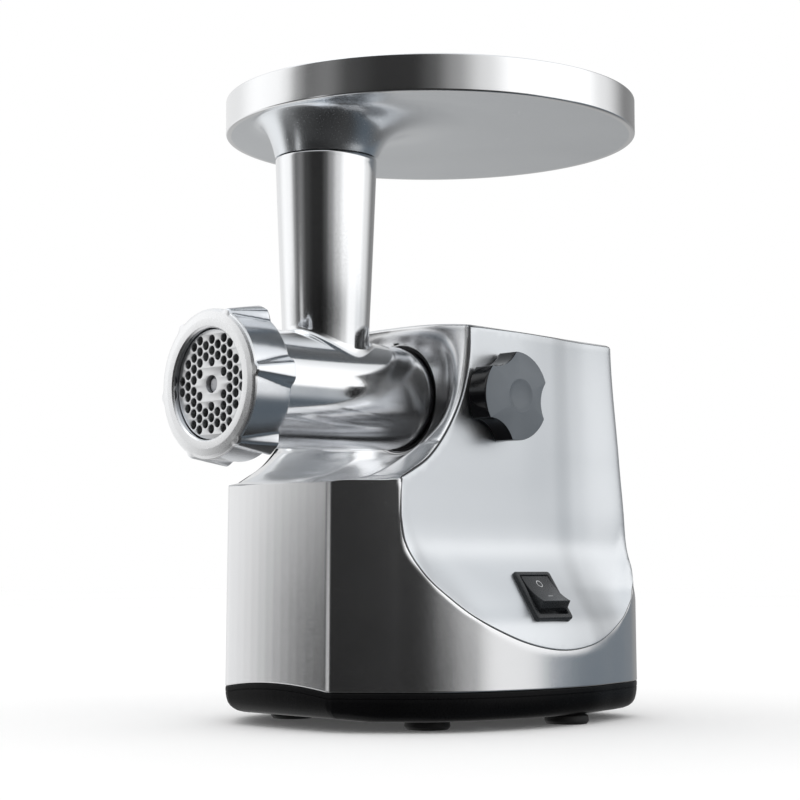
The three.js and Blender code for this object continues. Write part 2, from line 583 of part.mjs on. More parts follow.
// ---- gear train ----------------------------------------------------------
function gear(n, m, at, y0, y1, phase, hole) {
  const rp = (n * m) / 2,
    half = (Math.PI * m * 0.41) / 2;
  const pts = [];
  for (let k = 0; k < n; k++)
    for (const [r, w] of [
      [rp - 1.15 * m, 1.45 * half], [rp + 0.75 * m, 0.5 * half],
      [rp + 0.75 * m, -0.5 * half], [rp - 1.15 * m, -1.45 * half],
    ]) {
      const a = phase + (k * TAU) / n - w / rp;
      pts.push([at[0] + r * Math.cos(a), at[1] + r * Math.sin(a)]);
    }
  return prism(pts, hole ? [disc2(hole, 16, at)] : [], y0, y1, "y");
}
const O = [0, AXIS_Z],
  M = [0, MOTOR_Z];
const toward = (a, b) => Math.atan2(b[1] - a[1], b[0] - a[0]);
{
  const pB = toward(AX_B, O),
    pA = toward(AX_A, AX_B),
    pM = toward(M, AX_A);
  nodes.output_gear = gear(33, 1.5, O, 155, 163, pB + Math.PI + Math.PI / 33, 7.3);
  const pinB = 0 + pB;
  nodes.gear_b = join(
    gear(11, 1.5, AX_B, 154.5, 164.5, pinB),
    gear(40, 1.25, AX_B, 166.5, 172, pA + Math.PI + Math.PI / 40),
    rod(3, 147, 186, 12, "y", AX_B),
    rod(6, 164, 167, 12, "y", AX_B),
  );
  nodes.gear_a = join(
    gear(10, 1.25, AX_A, 166, 173, pA),
    gear(54, 1, AX_A, 175, 180, pM + Math.PI + Math.PI / 54),
    rod(3, 147, 186, 12, "y", AX_A),
    rod(5, 172, 176, 12, "y", AX_A),
  );
  nodes.motor_pinion = gear(9, 1, M, 174.5, 181, pM, 2.8);
  nodes.output_shaft = cut(
    turn([[0, 139.6], [9, 139.6], [9, 153], [7, 153], [7, 177], [0, 177]], 20, "y", O),
    prism(disc2(5.4, 6, O), [], 130, 150, "y"),
  );
  nodes.output_bearing = pipe(9.3, 14.6, 145.4, 152.4, 20, "y", O);
  // gearbox: a deep cup and its lid, round the four axes
  const around = (d) => {
    const c = [[O, 28 + d], [AX_B, 28.5 + d], [AX_A, 31 + d], [M, 12 + d]];
    const pts = [];
    for (let i = 0; i < 28; i++) {
      const a = (i * TAU) / 28,
        u = [Math.cos(a), Math.sin(a)];
      const mid = [2, 128];
      let best = 0;
      for (const [q, r] of c) {
        const w = [q[0] - mid[0], q[1] - mid[1]];
        const along = w[0] * u[0] + w[1] * u[1],
          off = w[0] * u[1] - w[1] * u[0];
        if (r > Math.abs(off)) best = Math.max(best, along + Math.sqrt(r * r - off * off));
      }
      pts.push([mid[0] + u[0] * best, mid[1] + u[1] * best]);
    }
    return pts;
  };
  const rim = around(4.2);
  const pegs = [rim[2], rim[11], rim[17], rim[25]];
  let cup = cut(prism(around(3), [], 141, 184, "y"), prism(around(0), [], 146, 190, "y"));
  cup = join(cup, rod(17.5, 142, 152, 20, "y", O), rod(5.5, 144, 152, 12, "y", AX_A), rod(5.5, 144, 152, 12, "y", AX_B));
  for (const p of pegs) cup = join(cup, rod(5, 141, 184, 12, "y", p));
  cup = cut(
    cup, rod(14.9, 145.1, 160, 20, "y", O), rod(9.6, 130, 160, 20, "y", O),
    rod(3.3, 146.6, 160, 12, "y", AX_A), rod(3.3, 146.6, 160, 12, "y", AX_B),
    cut(gear(33, 1.5, O, 154, 165, 0), rod(1, 150, 170, 6, "y", O)),
  );
  for (const p of pegs) cup = cut(cup, rod(1.8, 170, 190, 10, "y", p));
  nodes.gearbox_case = cup;
  let lid = prism(around(3), [], 184.3, 187.6, "y");
  for (const p of pegs) lid = join(lid, rod(5, 184.3, 187.6, 12, "y", p));
  lid = cut(lid, rod(3.3, 180, 190, 12, "y", AX_A), rod(3.3, 180, 190, 12, "y", AX_B), rod(5, 180, 190, 12, "y", M));
  lid = cut(lid, rod(7.4, 180, 190, 16, "y", O));
  for (const p of pegs) lid = cut(lid, rod(1.8, 180, 190, 10, "y", p));
  nodes.gearbox_cover = lid;
  pegs.forEach((p, i) => {
    nodes["gearbox_screw_" + (i + 1)] = turn(
      [[0, 190.6], [3, 190.6], [3.4, 187.9], [1.5, 187.9], [1.5, 171], [0, 171]], 10, "y", p,
    );
  });
}
// ---- motor ---------------------------------------------------------------
{
  nodes.rotor_shaft = turn([[0, 173.5], [2.5, 173.5], [2.5, 182], [3.5, 182], [3.5, 243], [0, 243]], 16, "y", M);
  nodes.rotor_core = pipe(3.8, 18, 205, 227, 24, "y", M);
  nodes.commutator = pipe(3.8, 9, 229, 236, 20, "y", M);
  const fan = [];
  for (let k = 0; k < 9; k++) {
    const a = (k * TAU) / 9;
    fan.push([M[0] + 25 * Math.cos(a), M[1] + 25 * Math.sin(a)], [M[0] + 24.5 * Math.cos(a + 0.16), M[1] + 24.5 * Math.sin(a + 0.16)],
      [M[0] + 9 * Math.cos(a + 0.5), M[1] + 9 * Math.sin(a + 0.5)]);
  }
  nodes.cooling_fan = prism(fan, [disc2(3.8, 12, M)], 191, 196.5, "y");
  nodes.motor_stator = prism(
    [[-33, 52], [33, 52], [36, 60], [36, 110], [33, 118], [-33, 118], [-36, 110], [-36, 60]],
    [[...disc2(19, 24, M), ].map(([x, z]) => [x, z + 0])], 206, 226, "y",
  );
  nodes.motor_stator = cut(
    nodes.motor_stator,
    box(-25, -12.5, 200, 230, 66, 104), box(12.5, 25, 200, 230, 66, 104),
  );
  for (const [s, name] of [[-1, "field_coil_left"], [1, "field_coil_right"]]) {
    const x0 = s < 0 ? -24.6 : 19.4,
      x1 = s < 0 ? -19.4 : 24.6;
    nodes[name] = box(x0, x1, 202.5, 230.5, 67, 103);
  }
  for (const [y, name, r] of [[198, "front", 1], [237.4, "rear", 1]]) {
    let b = box(-31, 31, y, y + 2.6, 76, 94);
    b = join(b, rod(12, y, y + 2.6, 20, "y", M));
    b = cut(b, rod(7.3, y - 5, y + 8, 16, "y", M));
    nodes["motor_bracket_" + name] = b;
    nodes["motor_bearing_" + name] = pipe(3.8, 7, y - 0.8, y + 3.4, 16, "y", M);
  }
  for (const [s, name] of [[-1, "left"], [1, "right"]])
    nodes["brush_holder_" + name] = box(Math.min(s * 9.4, s * 17), Math.max(s * 9.4, s * 17), 229.4, 235.6, 81.5, 88.5);
  nodes.terminal_block = box(-56, -40, 180, 206, 40, 54);
}

// ---- group ---------------------------------------------------------------
const LOOK = {
  steel: [0xc9ccd1, 0.28, 1],
  bright: [0xd9dbde, 0.16, 1],
  panel: [0xb6bcc2, 0.4, 0.6],
  black: [0x17181a, 0.5, 0],
  satin: [0x39404a, 0.35, 0.2],
  inner: [0x8f949b, 0.5, 0.8],
  copper: [0xb4703a, 0.4, 0.9],
};
const look = {
  main_housing: "steel", right_side_cover: "panel", left_side_cover: "panel", rear_cover: "steel",
  base_tray: "black", head_casting: "bright", ring_nut: "bright", screen_plate: "bright", knife: "bright",
  auger: "bright", feed_tray: "steel", lock_knob: "satin", rocker_key: "black", switch_body: "black",
  socket_collar: "black", cord_gland: "black", terminal_block: "black", field_coil_left: "copper",
  field_coil_right: "copper", commutator: "copper", brush_holder_left: "black", brush_holder_right: "black",
  cooling_fan: "black",
};
const group = new THREE.Group();
group.name = "meat_grinder";
for (const [name, m] of Object.entries(nodes)) {
  const mesh = m.getMesh();
  const pos = new Float32Array(mesh.numVert * 3);
  for (let i = 0; i < mesh.numVert; i++) {
    pos[3 * i] = mesh.vertProperties[mesh.numProp * i];
    pos[3 * i + 1] = mesh.vertProperties[mesh.numProp * i + 1] - MID_Y;
    pos[3 * i + 2] = mesh.vertProperties[mesh.numProp * i + 2];
  }
  const g = new THREE.BufferGeometry();
  g.setAttribute("position", new THREE.BufferAttribute(pos, 3));
  g.setIndex(new THREE.BufferAttribute(new Uint32Array(mesh.triVerts), 1));
  g.computeVertexNormals();
  const [color, roughness, metalness] = LOOK[look[name] || (name.startsWith("foot") ? "black" : "inner")];
  const part = new THREE.Mesh(g, new THREE.MeshStandardMaterial({ color, roughness, metalness }));
  part.name = name;
  group.add(part);
}
export default group;
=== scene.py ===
# Electric meat grinder, looks. Metres, +Z up, the ring nut faces -Y.
# Lengths in the tables below are millimetres, measured from the ring nut's front plane;
# V() turns them into the row frame.
import json, math
import bpy, bmesh
import numpy as np
from mathutils import Vector, Matrix
from mathutils.bvhtree import BVHTree


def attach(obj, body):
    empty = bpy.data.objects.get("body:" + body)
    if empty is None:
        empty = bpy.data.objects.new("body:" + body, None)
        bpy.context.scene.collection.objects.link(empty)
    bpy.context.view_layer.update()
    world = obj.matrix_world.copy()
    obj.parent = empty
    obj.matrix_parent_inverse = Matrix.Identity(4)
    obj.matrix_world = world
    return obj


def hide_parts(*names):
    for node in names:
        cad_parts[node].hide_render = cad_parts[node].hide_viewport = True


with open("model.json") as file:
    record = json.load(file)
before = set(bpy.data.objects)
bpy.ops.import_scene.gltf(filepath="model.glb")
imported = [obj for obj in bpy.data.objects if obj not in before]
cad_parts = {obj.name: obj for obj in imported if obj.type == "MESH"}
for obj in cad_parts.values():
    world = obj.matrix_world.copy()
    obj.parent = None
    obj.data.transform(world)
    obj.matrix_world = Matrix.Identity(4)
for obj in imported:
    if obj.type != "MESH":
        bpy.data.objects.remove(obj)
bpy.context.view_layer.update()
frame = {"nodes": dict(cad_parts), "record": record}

MID = 130.1
AXZ = 169.0
TAU = 2 * math.pi
COL = bpy.context.scene.collection
NODES = frame["nodes"]


def V(p):
    p = np.asarray(p, float)
    q = p.copy()
    q[..., 1] -= MID
    return q * 0.001


# ---------------------------------------------------------------- camera
cam_data = bpy.data.cameras.new("camera")
cam_data.lens = 88.34
cam_data.sensor_width = 36.0
cam_data.clip_start, cam_data.clip_end = 0.05, 50
cam = bpy.data.objects.new("camera", cam_data)
COL.objects.link(cam)
az, pitch = math.radians(47.07), math.radians(4.95)
cam.location = (0.76152, -0.58043 - 0.1301, 0.0785)
fwd = Vector((-math.sin(az) * math.cos(pitch), math.cos(az) * math.cos(pitch), math.sin(pitch)))
cam.rotation_euler = fwd.to_track_quat("-Z", "Y").to_euler()
bpy.context.scene.camera = cam


# ---------------------------------------------------------------- materials
class Mat:
    """A node material with a few short builders."""

    def __init__(self, name):
        self.m = bpy.data.materials.new(name)
        self.m.use_nodes = True
        self.t = self.m.node_tree
        self.b = self.t.nodes["Principled BSDF"]
        self.coord = self.t.nodes.new("ShaderNodeTexCoord").outputs["Object"]

    def node(self, kind, **kw):
        n = self.t.nodes.new(kind)
        for k, v in kw.items():
            if k in n.inputs:
                n.inputs[k].default_value = v
            else:
                setattr(n, k, v)
        return n

    def link(self, a, b):
        self.t.links.new(a, b)

    def mapped(self, scale, rot=(0, 0, 0)):
        n = self.node("ShaderNodeMapping")
        n.inputs["Scale"].default_value = scale
        n.inputs["Rotation"].default_value = rot
        self.link(self.coord, n.inputs["Vector"])
        return n.outputs["Vector"]

    def noise(self, scale, detail=3.0, rough=0.55, vec=None, dist=0.0):
        n = self.node("ShaderNodeTexNoise")
        n.inputs["Scale"].default_value = scale
        n.inputs["Detail"].default_value = detail
        n.inputs["Roughness"].default_value = rough
        n.inputs["Distortion"].default_value = dist
        self.link(vec if vec is not None else self.coord, n.inputs["Vector"])
        return n.outputs["Fac"]

    def span(self, src, lo, hi, a=0.3, b=0.7):
        n = self.node("ShaderNodeMapRange")
        n.inputs["From Min"].default_value = a
        n.inputs["From Max"].default_value = b
        n.inputs["To Min"].default_value = lo
        n.inputs["To Max"].default_value = hi
        self.link(src, n.inputs["Value"])
        return n.outputs["Result"]

    def ramp(self, src, c0, c1, p0=0.3, p1=0.7):
        n = self.node("ShaderNodeValToRGB")
        e = n.color_ramp.elements
        e[0].position, e[1].position = p0, p1
        e[0].color, e[1].color = (*c0, 1), (*c1, 1)
        self.link(src, n.inputs["Fac"])
        return n.outputs["Color"]

    def bump(self, src, height, dist=0.001, normal=None):
        n = self.node("ShaderNodeBump")
        n.inputs["Strength"].default_value = height
        n.inputs["Distance"].default_value = dist
        self.link(src, n.inputs["Height"])
        if normal is not None:
            self.link(normal, n.inputs["Normal"])
        return n.outputs["Normal"]

    def edge(self, lo=0.52, hi=0.62):
        g = self.node("ShaderNodeNewGeometry")
        return self.span(g.outputs["Pointiness"], 0, 1, lo, hi)

    def mix(self, fac, a, b):
        n = self.node("ShaderNodeMix", data_type="RGBA")
        self.link(fac, n.inputs[0])
        for s, v in ((6, a), (7, b)):
            if isinstance(v, tuple):
                n.inputs[s].default_value = (*v, 1)
            else:
                self.link(v, n.inputs[s])
        return n.outputs[2]


def metal(name, base, dark, rough, brush=None, grain=0.05, aniso=0.0, metallic=1.0, wear=0.05, coat=0.0):
    """Metal with drifting tone, roughness variation and fine brush lines along the long axis of brush."""
    M = Mat(name)
    M.b.inputs["Metallic"].default_value = metallic
    if coat:
        M.b.inputs["Coat Weight"].default_value = coat
        M.b.inputs["Coat Roughness"].default_value = 0.08
    drift = M.noise(9, 2)
    M.link(M.ramp(drift, dark, base), M.b.inputs["Base Color"])
    fine = M.noise(900, 4, 0.6, M.mapped(brush)) if brush else M.noise(1400, 4, 0.6)
    smear = M.noise(38, 4, 0.6)
    mul = M.node("ShaderNodeMath", operation="MULTIPLY_ADD")
    M.link(smear, mul.inputs[0])
    mul.inputs[1].default_value = wear
    M.link(M.span(fine, rough - 0.03, rough + 0.05), mul.inputs[2])
    M.link(mul.outputs[0], M.b.inputs["Roughness"])
    M.link(M.bump(fine, grain, 0.0004), M.b.inputs["Normal"])
    return M.m


def plastic(name, base, light, rough, grain_scale=1600, grain=0.12, spec=0.5, coat=0.0, rub=True):
    M = Mat(name)
    M.b.inputs["Specular IOR Level"].default_value = spec
    if coat:
        M.b.inputs["Coat Weight"].default_value = coat
        M.b.inputs["Coat Roughness"].default_value = 0.05
    tone = M.noise(30, 3)
    col = M.ramp(tone, base, light)
    if rub:
        M.link(M.mix(M.edge(), col, tuple(min(1, c * 1.6 + 0.01) for c in light)), M.b.inputs["Base Color"])
    else:
        M.link(col, M.b.inputs["Base Color"])
    g = M.noise(grain_scale, 3, 0.6)
    M.link(M.span(g, rough - 0.05, rough + 0.07), M.b.inputs["Roughness"])
    M.link(M.bump(g, grain, 0.0005), M.b.inputs["Normal"])
    return M.m


m_body = metal("silver_body", (0.86, 0.865, 0.875), (0.80, 0.805, 0.815), 0.19, brush=(0.5, 0.5, 6.0), grain=0.010)
m_panel = metal("panel_silver", (0.80, 0.825, 0.85), (0.75, 0.775, 0.80), 0.33, metallic=1.0, grain=0.012)
m_polish = metal("polished_alloy", (0.92, 0.93, 0.94), (0.87, 0.88, 0.895), 0.085, brush=(1, 1, 1), grain=0.004, wear=0.04)
m_nut = metal("nut_alloy", (0.88, 0.90, 0.93), (0.82, 0.84, 0.87), 0.14, grain=0.006)
m_nut_face = metal("nut_face", (0.93, 0.935, 0.945), (0.88, 0.89, 0.90), 0.26, grain=0.010)
m_tray = metal("tray_alloy", (0.93, 0.935, 0.945), (0.88, 0.89, 0.90), 0.11, grain=0.006)
m_tray_under = metal("tray_under", (0.86, 0.89, 0.92), (0.80, 0.83, 0.86), 0.2, grain=0.008)
m_plate = metal("plate_steel", (0.78, 0.79, 0.80), (0.70, 0.71, 0.72), 0.28, brush=(6, 1, 1), grain=0.06)
m_cast = metal("cast_alloy", (0.55, 0.56, 0.58), (0.45, 0.46, 0.48), 0.42, grain=0.25)
m_steel = metal("machined_steel", (0.52, 0.53, 0.55), (0.42, 0.43, 0.45), 0.32, brush=(1, 5, 1), grain=0.08)
m_copper = metal("enamelled_copper", (0.72, 0.36, 0.17), (0.55, 0.26, 0.12), 0.3, brush=(1, 9, 1), grain=0.4)
m_iron = metal("laminated_iron", (0.20, 0.20, 0.21), (0.13, 0.13, 0.14), 0.5, brush=(1, 12, 1), grain=0.5)
m_base = plastic("base_plastic", (0.002, 0.002, 0.0022), (0.004, 0.004, 0.0044), 0.28, grain=0.03, spec=0.07)
# dark_plastic also colours the collar ring at the socket, where it is painted shade for the gap
m_dark = plastic("dark_plastic", (0.014, 0.014, 0.016), (0.028, 0.028, 0.030), 0.45, grain=0.2)
# flat dark sheets for shut lines, louvre slots and vents: painted shade for gaps and openings
m_gap_shade = plastic("painted_gap_shade", (0.012, 0.013, 0.014), (0.03, 0.031, 0.033), 0.6)
m_rubber = plastic("foot_rubber", (0.008, 0.008, 0.008), (0.02, 0.02, 0.02), 0.62, grain=0.3, spec=0.35)
m_knob_side = plastic("knob_gloss", (0.0015, 0.0015, 0.002), (0.003, 0.003, 0.004), 0.13, grain=0.01, spec=0.45)
m_knob_face = plastic("knob_satin", (0.105, 0.120, 0.135), (0.135, 0.152, 0.170), 0.42, grain_scale=2600, grain=0.2, rub=False)
m_switch = plastic("switch_plastic", (0.008, 0.009, 0.010), (0.020, 0.022, 0.025), 0.27, grain=0.1)
m_mark = plastic("mark_white", (0.62, 0.63, 0.64), (0.75, 0.76, 0.77), 0.5)
m_nylon = plastic("gear_nylon", (0.72, 0.69, 0.58), (0.80, 0.77, 0.68), 0.4, grain=0.1)


# ---------------------------------------------------------------- mesh kit
def obj_from(name, verts, faces, mats, body, nodes=(), smooth=35, face_mat=None, place=True):
    me = bpy.data.meshes.new(name)
    me.from_pydata([tuple(p) for p in (V(verts) if place else np.asarray(verts))], [], [tuple(f) for f in faces])
    me.validate(clean_customdata=False)
    for m in (mats if isinstance(mats, (list, tuple)) else [mats]):
        me.materials.append(m)
    if face_mat is not None:
        me.polygons.foreach_set("material_index", np.asarray(face_mat, dtype=np.int32))
    ob = bpy.data.objects.new(name, me)
    COL.objects.link(ob)
    me.shade_smooth()
    if smooth is not None:
        me.set_sharp_from_angle(angle=math.radians(smooth))
    if body:
        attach(ob, body)
    if nodes:
        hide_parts(*nodes)
    return ob


def grid_faces(rows, cols, wrap=True, loop=False, start=0):
    r = np.arange(rows - (0 if loop else 1))
    c = np.arange(cols if wrap else cols - 1)
    R, C = np.meshgrid(r, c, indexing="ij")
    R2 = (R + 1) % rows
    C2 = (C + 1) % cols
    return (np.stack([R * cols + C, R * cols + C2, R2 * cols + C2, R2 * cols + C], -1).reshape(-1, 4) + start).tolist()


def facing_out(ob):
    bm = bmesh.new()
    bm.from_mesh(ob.data)
    bmesh.ops.recalc_face_normals(bm, faces=bm.faces)
    bm.to_mesh(ob.data)
    bm.free()
    return ob


def fillet(pts, seg=5, loop=False):
    """pts: (r, h) or (r, h, radius). Rounds each corner that has a radius."""
    out = []
    n = len(pts)
    for i, p in enumerate(pts):
        q = np.array(p[:2], float)
        rad = p[2] if len(p) > 2 else 0
        if not rad or (not loop and i in (0, n - 1)):
            out.append(q)
            continue
        a = np.array(pts[(i - 1) % n][:2], float) - q
        b = np.array(pts[(i + 1) % n][:2], float) - q
        la, lb = np.linalg.norm(a), np.linalg.norm(b)
        a /= la
        b /= lb
        ang = math.acos(max(-1, min(1, float(a @ b))))
        d = min(rad / math.tan(ang / 2), la * 0.49, lb * 0.49)
        s, e = q + a * d, q + b * d
        for k in range(seg + 1):
            t = k / seg
            out.append((1 - t) ** 2 * s + 2 * t * (1 - t) * q + t * t * e)
    return np.array(out)


def densify(pts, step, loop=False):
    out = []
    n = len(pts)
    for i in range(n if loop else n - 1):
        a, b = pts[i], pts[(i + 1) % n]
        k = max(1, int(math.ceil(np.linalg.norm(b - a) / step)))
        for j in range(k):
            out.append(a + (b - a) * j / k)
    if not loop:
        out.append(pts[-1])
    return np.array(out)


def turned(name, profile, n, axis, at, mats, body, nodes=(), loop=False, smooth=35, shape=None, mat_of=None, seg=5):
    """Lathe with optional shape(points (rows, cols, 2: radius, angle), height) to change the radius."""
    P = fillet(profile, seg, loop)
    a = np.arange(n) * TAU / n
    R = np.repeat(P[:, :1], n, 1)
    H = np.repeat(P[:, 1:2], n, 1)
    A = np.repeat(a[None], len(P), 0)
    if shape:
        R, H = shape(R, H, A)
    if axis == "z":
        pts = np.stack([at[0] + R * np.cos(A), at[1] + R * np.sin(A), H], -1)
    elif axis == "y":
        pts = np.stack([at[0] + R * np.cos(A), H, at[1] + R * np.sin(A)], -1)
    else:
        pts = np.stack([H, at[0] + R * np.cos(A), at[1] + R * np.sin(A)], -1)
    faces = grid_faces(len(P), n, True, loop)
    verts = pts.reshape(-1, 3)
    if not loop:
        for k, row in ((0, 0), (1, len(P) - 1)):
            if P[row, 0] > 1e-4:
                ring = [row * n + i for i in range(n)]
                faces.append(ring if k else ring[::-1])
    ob = obj_from(name, verts, faces, mats, body, nodes, None)
    if mat_of:
        idx = [mat_of(p.center) for p in ob.data.polygons]
        ob.data.polygons.foreach_set("material_index", np.array(idx, dtype=np.int32))
    bm = bmesh.new()
    bm.from_mesh(ob.data)
    bmesh.ops.remove_doubles(bm, verts=bm.verts, dist=1e-7)
    bmesh.ops.recalc_face_normals(bm, faces=bm.faces)
    bm.to_mesh(ob.data)
    bm.free()
    ob.data.shade_smooth()
    if smooth is not None:
        ob.data.set_sharp_from_angle(angle=math.radians(smooth))
    return ob


def pchip(xs, ys):
    xs, ys = np.asarray(xs, float), np.asarray(ys, float)
    h = np.diff(xs)
    d = np.diff(ys) / h
    m = np.zeros_like(xs)
    for i in range(1, len(xs) - 1):
        if d[i - 1] * d[i] > 0:
            w1, w2 = 2 * h[i] + h[i - 1], h[i] + 2 * h[i - 1]
            m[i] = (w1 + w2) / (w1 / d[i - 1] + w2 / d[i])
    m[0], m[-1] = d[0], d[-1]

    def f(x):
        x = np.clip(np.asarray(x, float), xs[0], xs[-1])
        k = np.clip(np.searchsorted(xs, x) - 1, 0, len(xs) - 2)
        t = (x - xs[k]) / h[k]
        return ((1 + 2 * t) * (1 - t) ** 2 * ys[k] + t * (1 - t) ** 2 * h[k] * m[k]
                + t * t * (3 - 2 * t) * ys[k + 1] + t * t * (t - 1) * h[k] * m[k + 1])
    return f


def catmull(pts, per, loop=False):
    P = np.asarray(pts, float)
    n = len(P)
    out = []
    for i in range(n if loop else n - 1):
        p0 = P[(i - 1) % n] if (loop or i > 0) else 2 * P[0] - P[1]
        p1, p2 = P[i], P[(i + 1) % n]
        p3 = P[(i + 2) % n] if (loop or i + 2 < n) else 2 * P[-1] - P[-2]
        t1 = max(1e-6, np.linalg.norm(p1 - p0)) ** 0.5
        t2 = t1 + max(1e-6, np.linalg.norm(p2 - p1)) ** 0.5
        t3 = t2 + max(1e-6, np.linalg.norm(p3 - p2)) ** 0.5
        for k in range(per):
            t = t1 + (t2 - t1) * k / per
            A1 = (t1 - t) / t1 * p0 + t / t1 * p1
            A2 = (t2 - t) / (t2 - t1) * p1 + (t - t1) / (t2 - t1) * p2
            A3 = (t3 - t) / (t3 - t2) * p2 + (t - t2) / (t3 - t2) * p3
            B1 = (t2 - t) / t2 * A1 + t / t2 * A2
            B2 = (t3 - t) / (t3 - t1) * A2 + (t - t1) / (t3 - t1) * A3
            out.append((t2 - t) / (t2 - t1) * B1 + (t - t1) / (t2 - t1) * B2)
    if not loop:
        out.append(P[-1])
    return np.array(out)


def resample(P, n, loop=False):
    Q = np.vstack([P, P[:1]]) if loop else P
    s = np.r_[0, np.cumsum(np.linalg.norm(np.diff(Q, axis=0), axis=1))]
    t = np.linspace(0, s[-1], n + 1)[:-1] if loop else np.linspace(0, s[-1], n)
    return np.stack([np.interp(t, s, Q[:, k]) for k in range(Q.shape[1])], 1)


def offset2(P, d):
    """Closed outline moved inwards by d (counter-clockwise outline)."""
    a = np.roll(P, 1, 0)
    b = np.roll(P, -1, 0)
    t = b - a
    t /= np.linalg.norm(t, axis=1)[:, None]
    area = np.sum(P[:, 0] * b[:, 1] - b[:, 0] * P[:, 1])
    nrm = np.stack([-t[:, 1], t[:, 0]], 1) * (1 if area > 0 else -1)
    return P + nrm * d


# ---------------------------------------------------------------- body surfaces
SEAM = 19.75
TOP = 200.0
side = catmull([(40.6, 43.75), (52.5, 53.9), (64.7, 65.5), (77.7, 79.6), (85.7, 98), (90.7, 121), (92.7, 146),
                (89.9, 179), (83.2, 203), (78.2, 219), (73.6, 230.5), (67, 240), (56, 247.3), (42, 250.5), (22, 251), (0, 251)], 14)
nose = np.array([(x, 41.3 + 1.9 * (x / 38.6) ** 2) for x in (0, 6, 12, 18, 24, 30, 35, 38.3)] + [(39.5, 43.6)])
half = np.vstack([nose, side])
full = np.vstack([half, (half[1:-1] * [-1, 1])[::-1]])
SKIRT = resample(full, 900, True)
# half width of the panels by depth, and their flare towards the floor
WIDE = pchip([20, 100, 150, 177, 195, 210, 222, 230, 234, 237, 241, 244, 245.2],
             [64.2, 65, 65, 62.8, 59.4, 57.8, 57.5, 57, 54.9, 51.8, 44.5, 33, 0])
FLARE = pchip([10, 30, 37.5, 46.7, 52.5, 59, 65.6, 72, 79, 84, 89, 94, 104, 122, 260],
              [37, 30, 27.9, 25.8, 23.8, 19.3, 14.9, 10.5, 5.9, 3.1, 1.3, 0.6, 0.2, 0, 0])
FADE = pchip([0, 177, 222, 236, 300], [1, 1, 0.93, 0.85, 0.85])
OPEN_Z = pchip([0, 57, 68, 74, 82, 90, 99, 136, 200, 300], [0, 0, 0.5, 3, 5.8, 6.8, 7, 4.4, 0, 0])
OPEN_Y = pchip([0, 150, 177, 200, 215, 228, 300], [0, 0, 0.25, 0.6, 0.85, 1, 1])
crown = lambda x, y: 206.4 - 4.4 * (np.abs(x) / 65.0) ** 2 - 0.02 * (y - 118)


def panel_x(y, z):
    y = np.asarray(y, float)
    z = np.asarray(z, float)
    back = 6 * (TOP - np.minimum(z, TOP)) / 180
    yy = np.where(y > 200, 200 + (y - 200) / (1 + back / 45), y)
    base = WIDE(yy) + FLARE(z) * FADE(yy) + OPEN_Z(z) * OPEN_Y(yy)
    if not EDGE_DX:
        return base
    t = np.clip((EDGE(y) + 30 - z) / 30, 0, 1)
    return base + EDGE_DX[0](y) * t * t * (3 - 2 * t)


# lower edge of the side covers on the skirt wall
EDGE_PTS = [(66.4, 107.7), (68, 94.9), (71, 86), (75.7, 75.6), (83.3, 67), (98.7, 55.1), (112.8, 47.9), (127.5, 42.4), (143.8, 38.9), (160, 37.9),
            (177, 39.6), (194.5, 43.9), (207, 49), (216, 54), (222, 58.5), (228, 65), (232, 73)]
EDGE = pchip([0] + [p[0] for p in EDGE_PTS] + [300], [121] + [p[1] for p in EDGE_PTS] + [73])
EDGE_DX = []


def draft(z):
    return (z - 19.6) * 0.009


CREASE = [(0, 42.4, 121.6), (20, 42.4, 121.6), (39.3, 43.6, 121.7), (40.2, 60, 126.2), (43, 77.5, 133.4), (45.8, 86.8, 139.7),
          (48.9, 96.2, 147.2), (51.5, 106.2, 156.6), (53, 110.9, 166.8), (52.6, 113.4, 177.2), (50.4, 115.4, 186), (44, 117.2, 193.3),
          (31, 118.4, 198.4), (16, 119, 201), (0, 119.2, 201.8)]
LIP = [(0, 32, 121.5), (20, 32, 121.5), (45, 42.5, 121.6), (53, 53.4, 122), (64.9, 65.6, 122.5), (65, 75.3, 127.6), (65, 86.6, 134.4),
       (65, 97.9, 146.4), (65, 107.2, 161.5), (65, 111.9, 174.5), (65, 114.3, 187.2), (61, 115.5, 200), (41, 117, 203.2), (20, 118.2, 204.6), (0, 118.5, 205)]


def dense_ring(half_keys, per=10):
    h = catmull(half_keys, per)
    return np.vstack([h, (h[1:-1] * [-1, 1, 1])[::-1]])


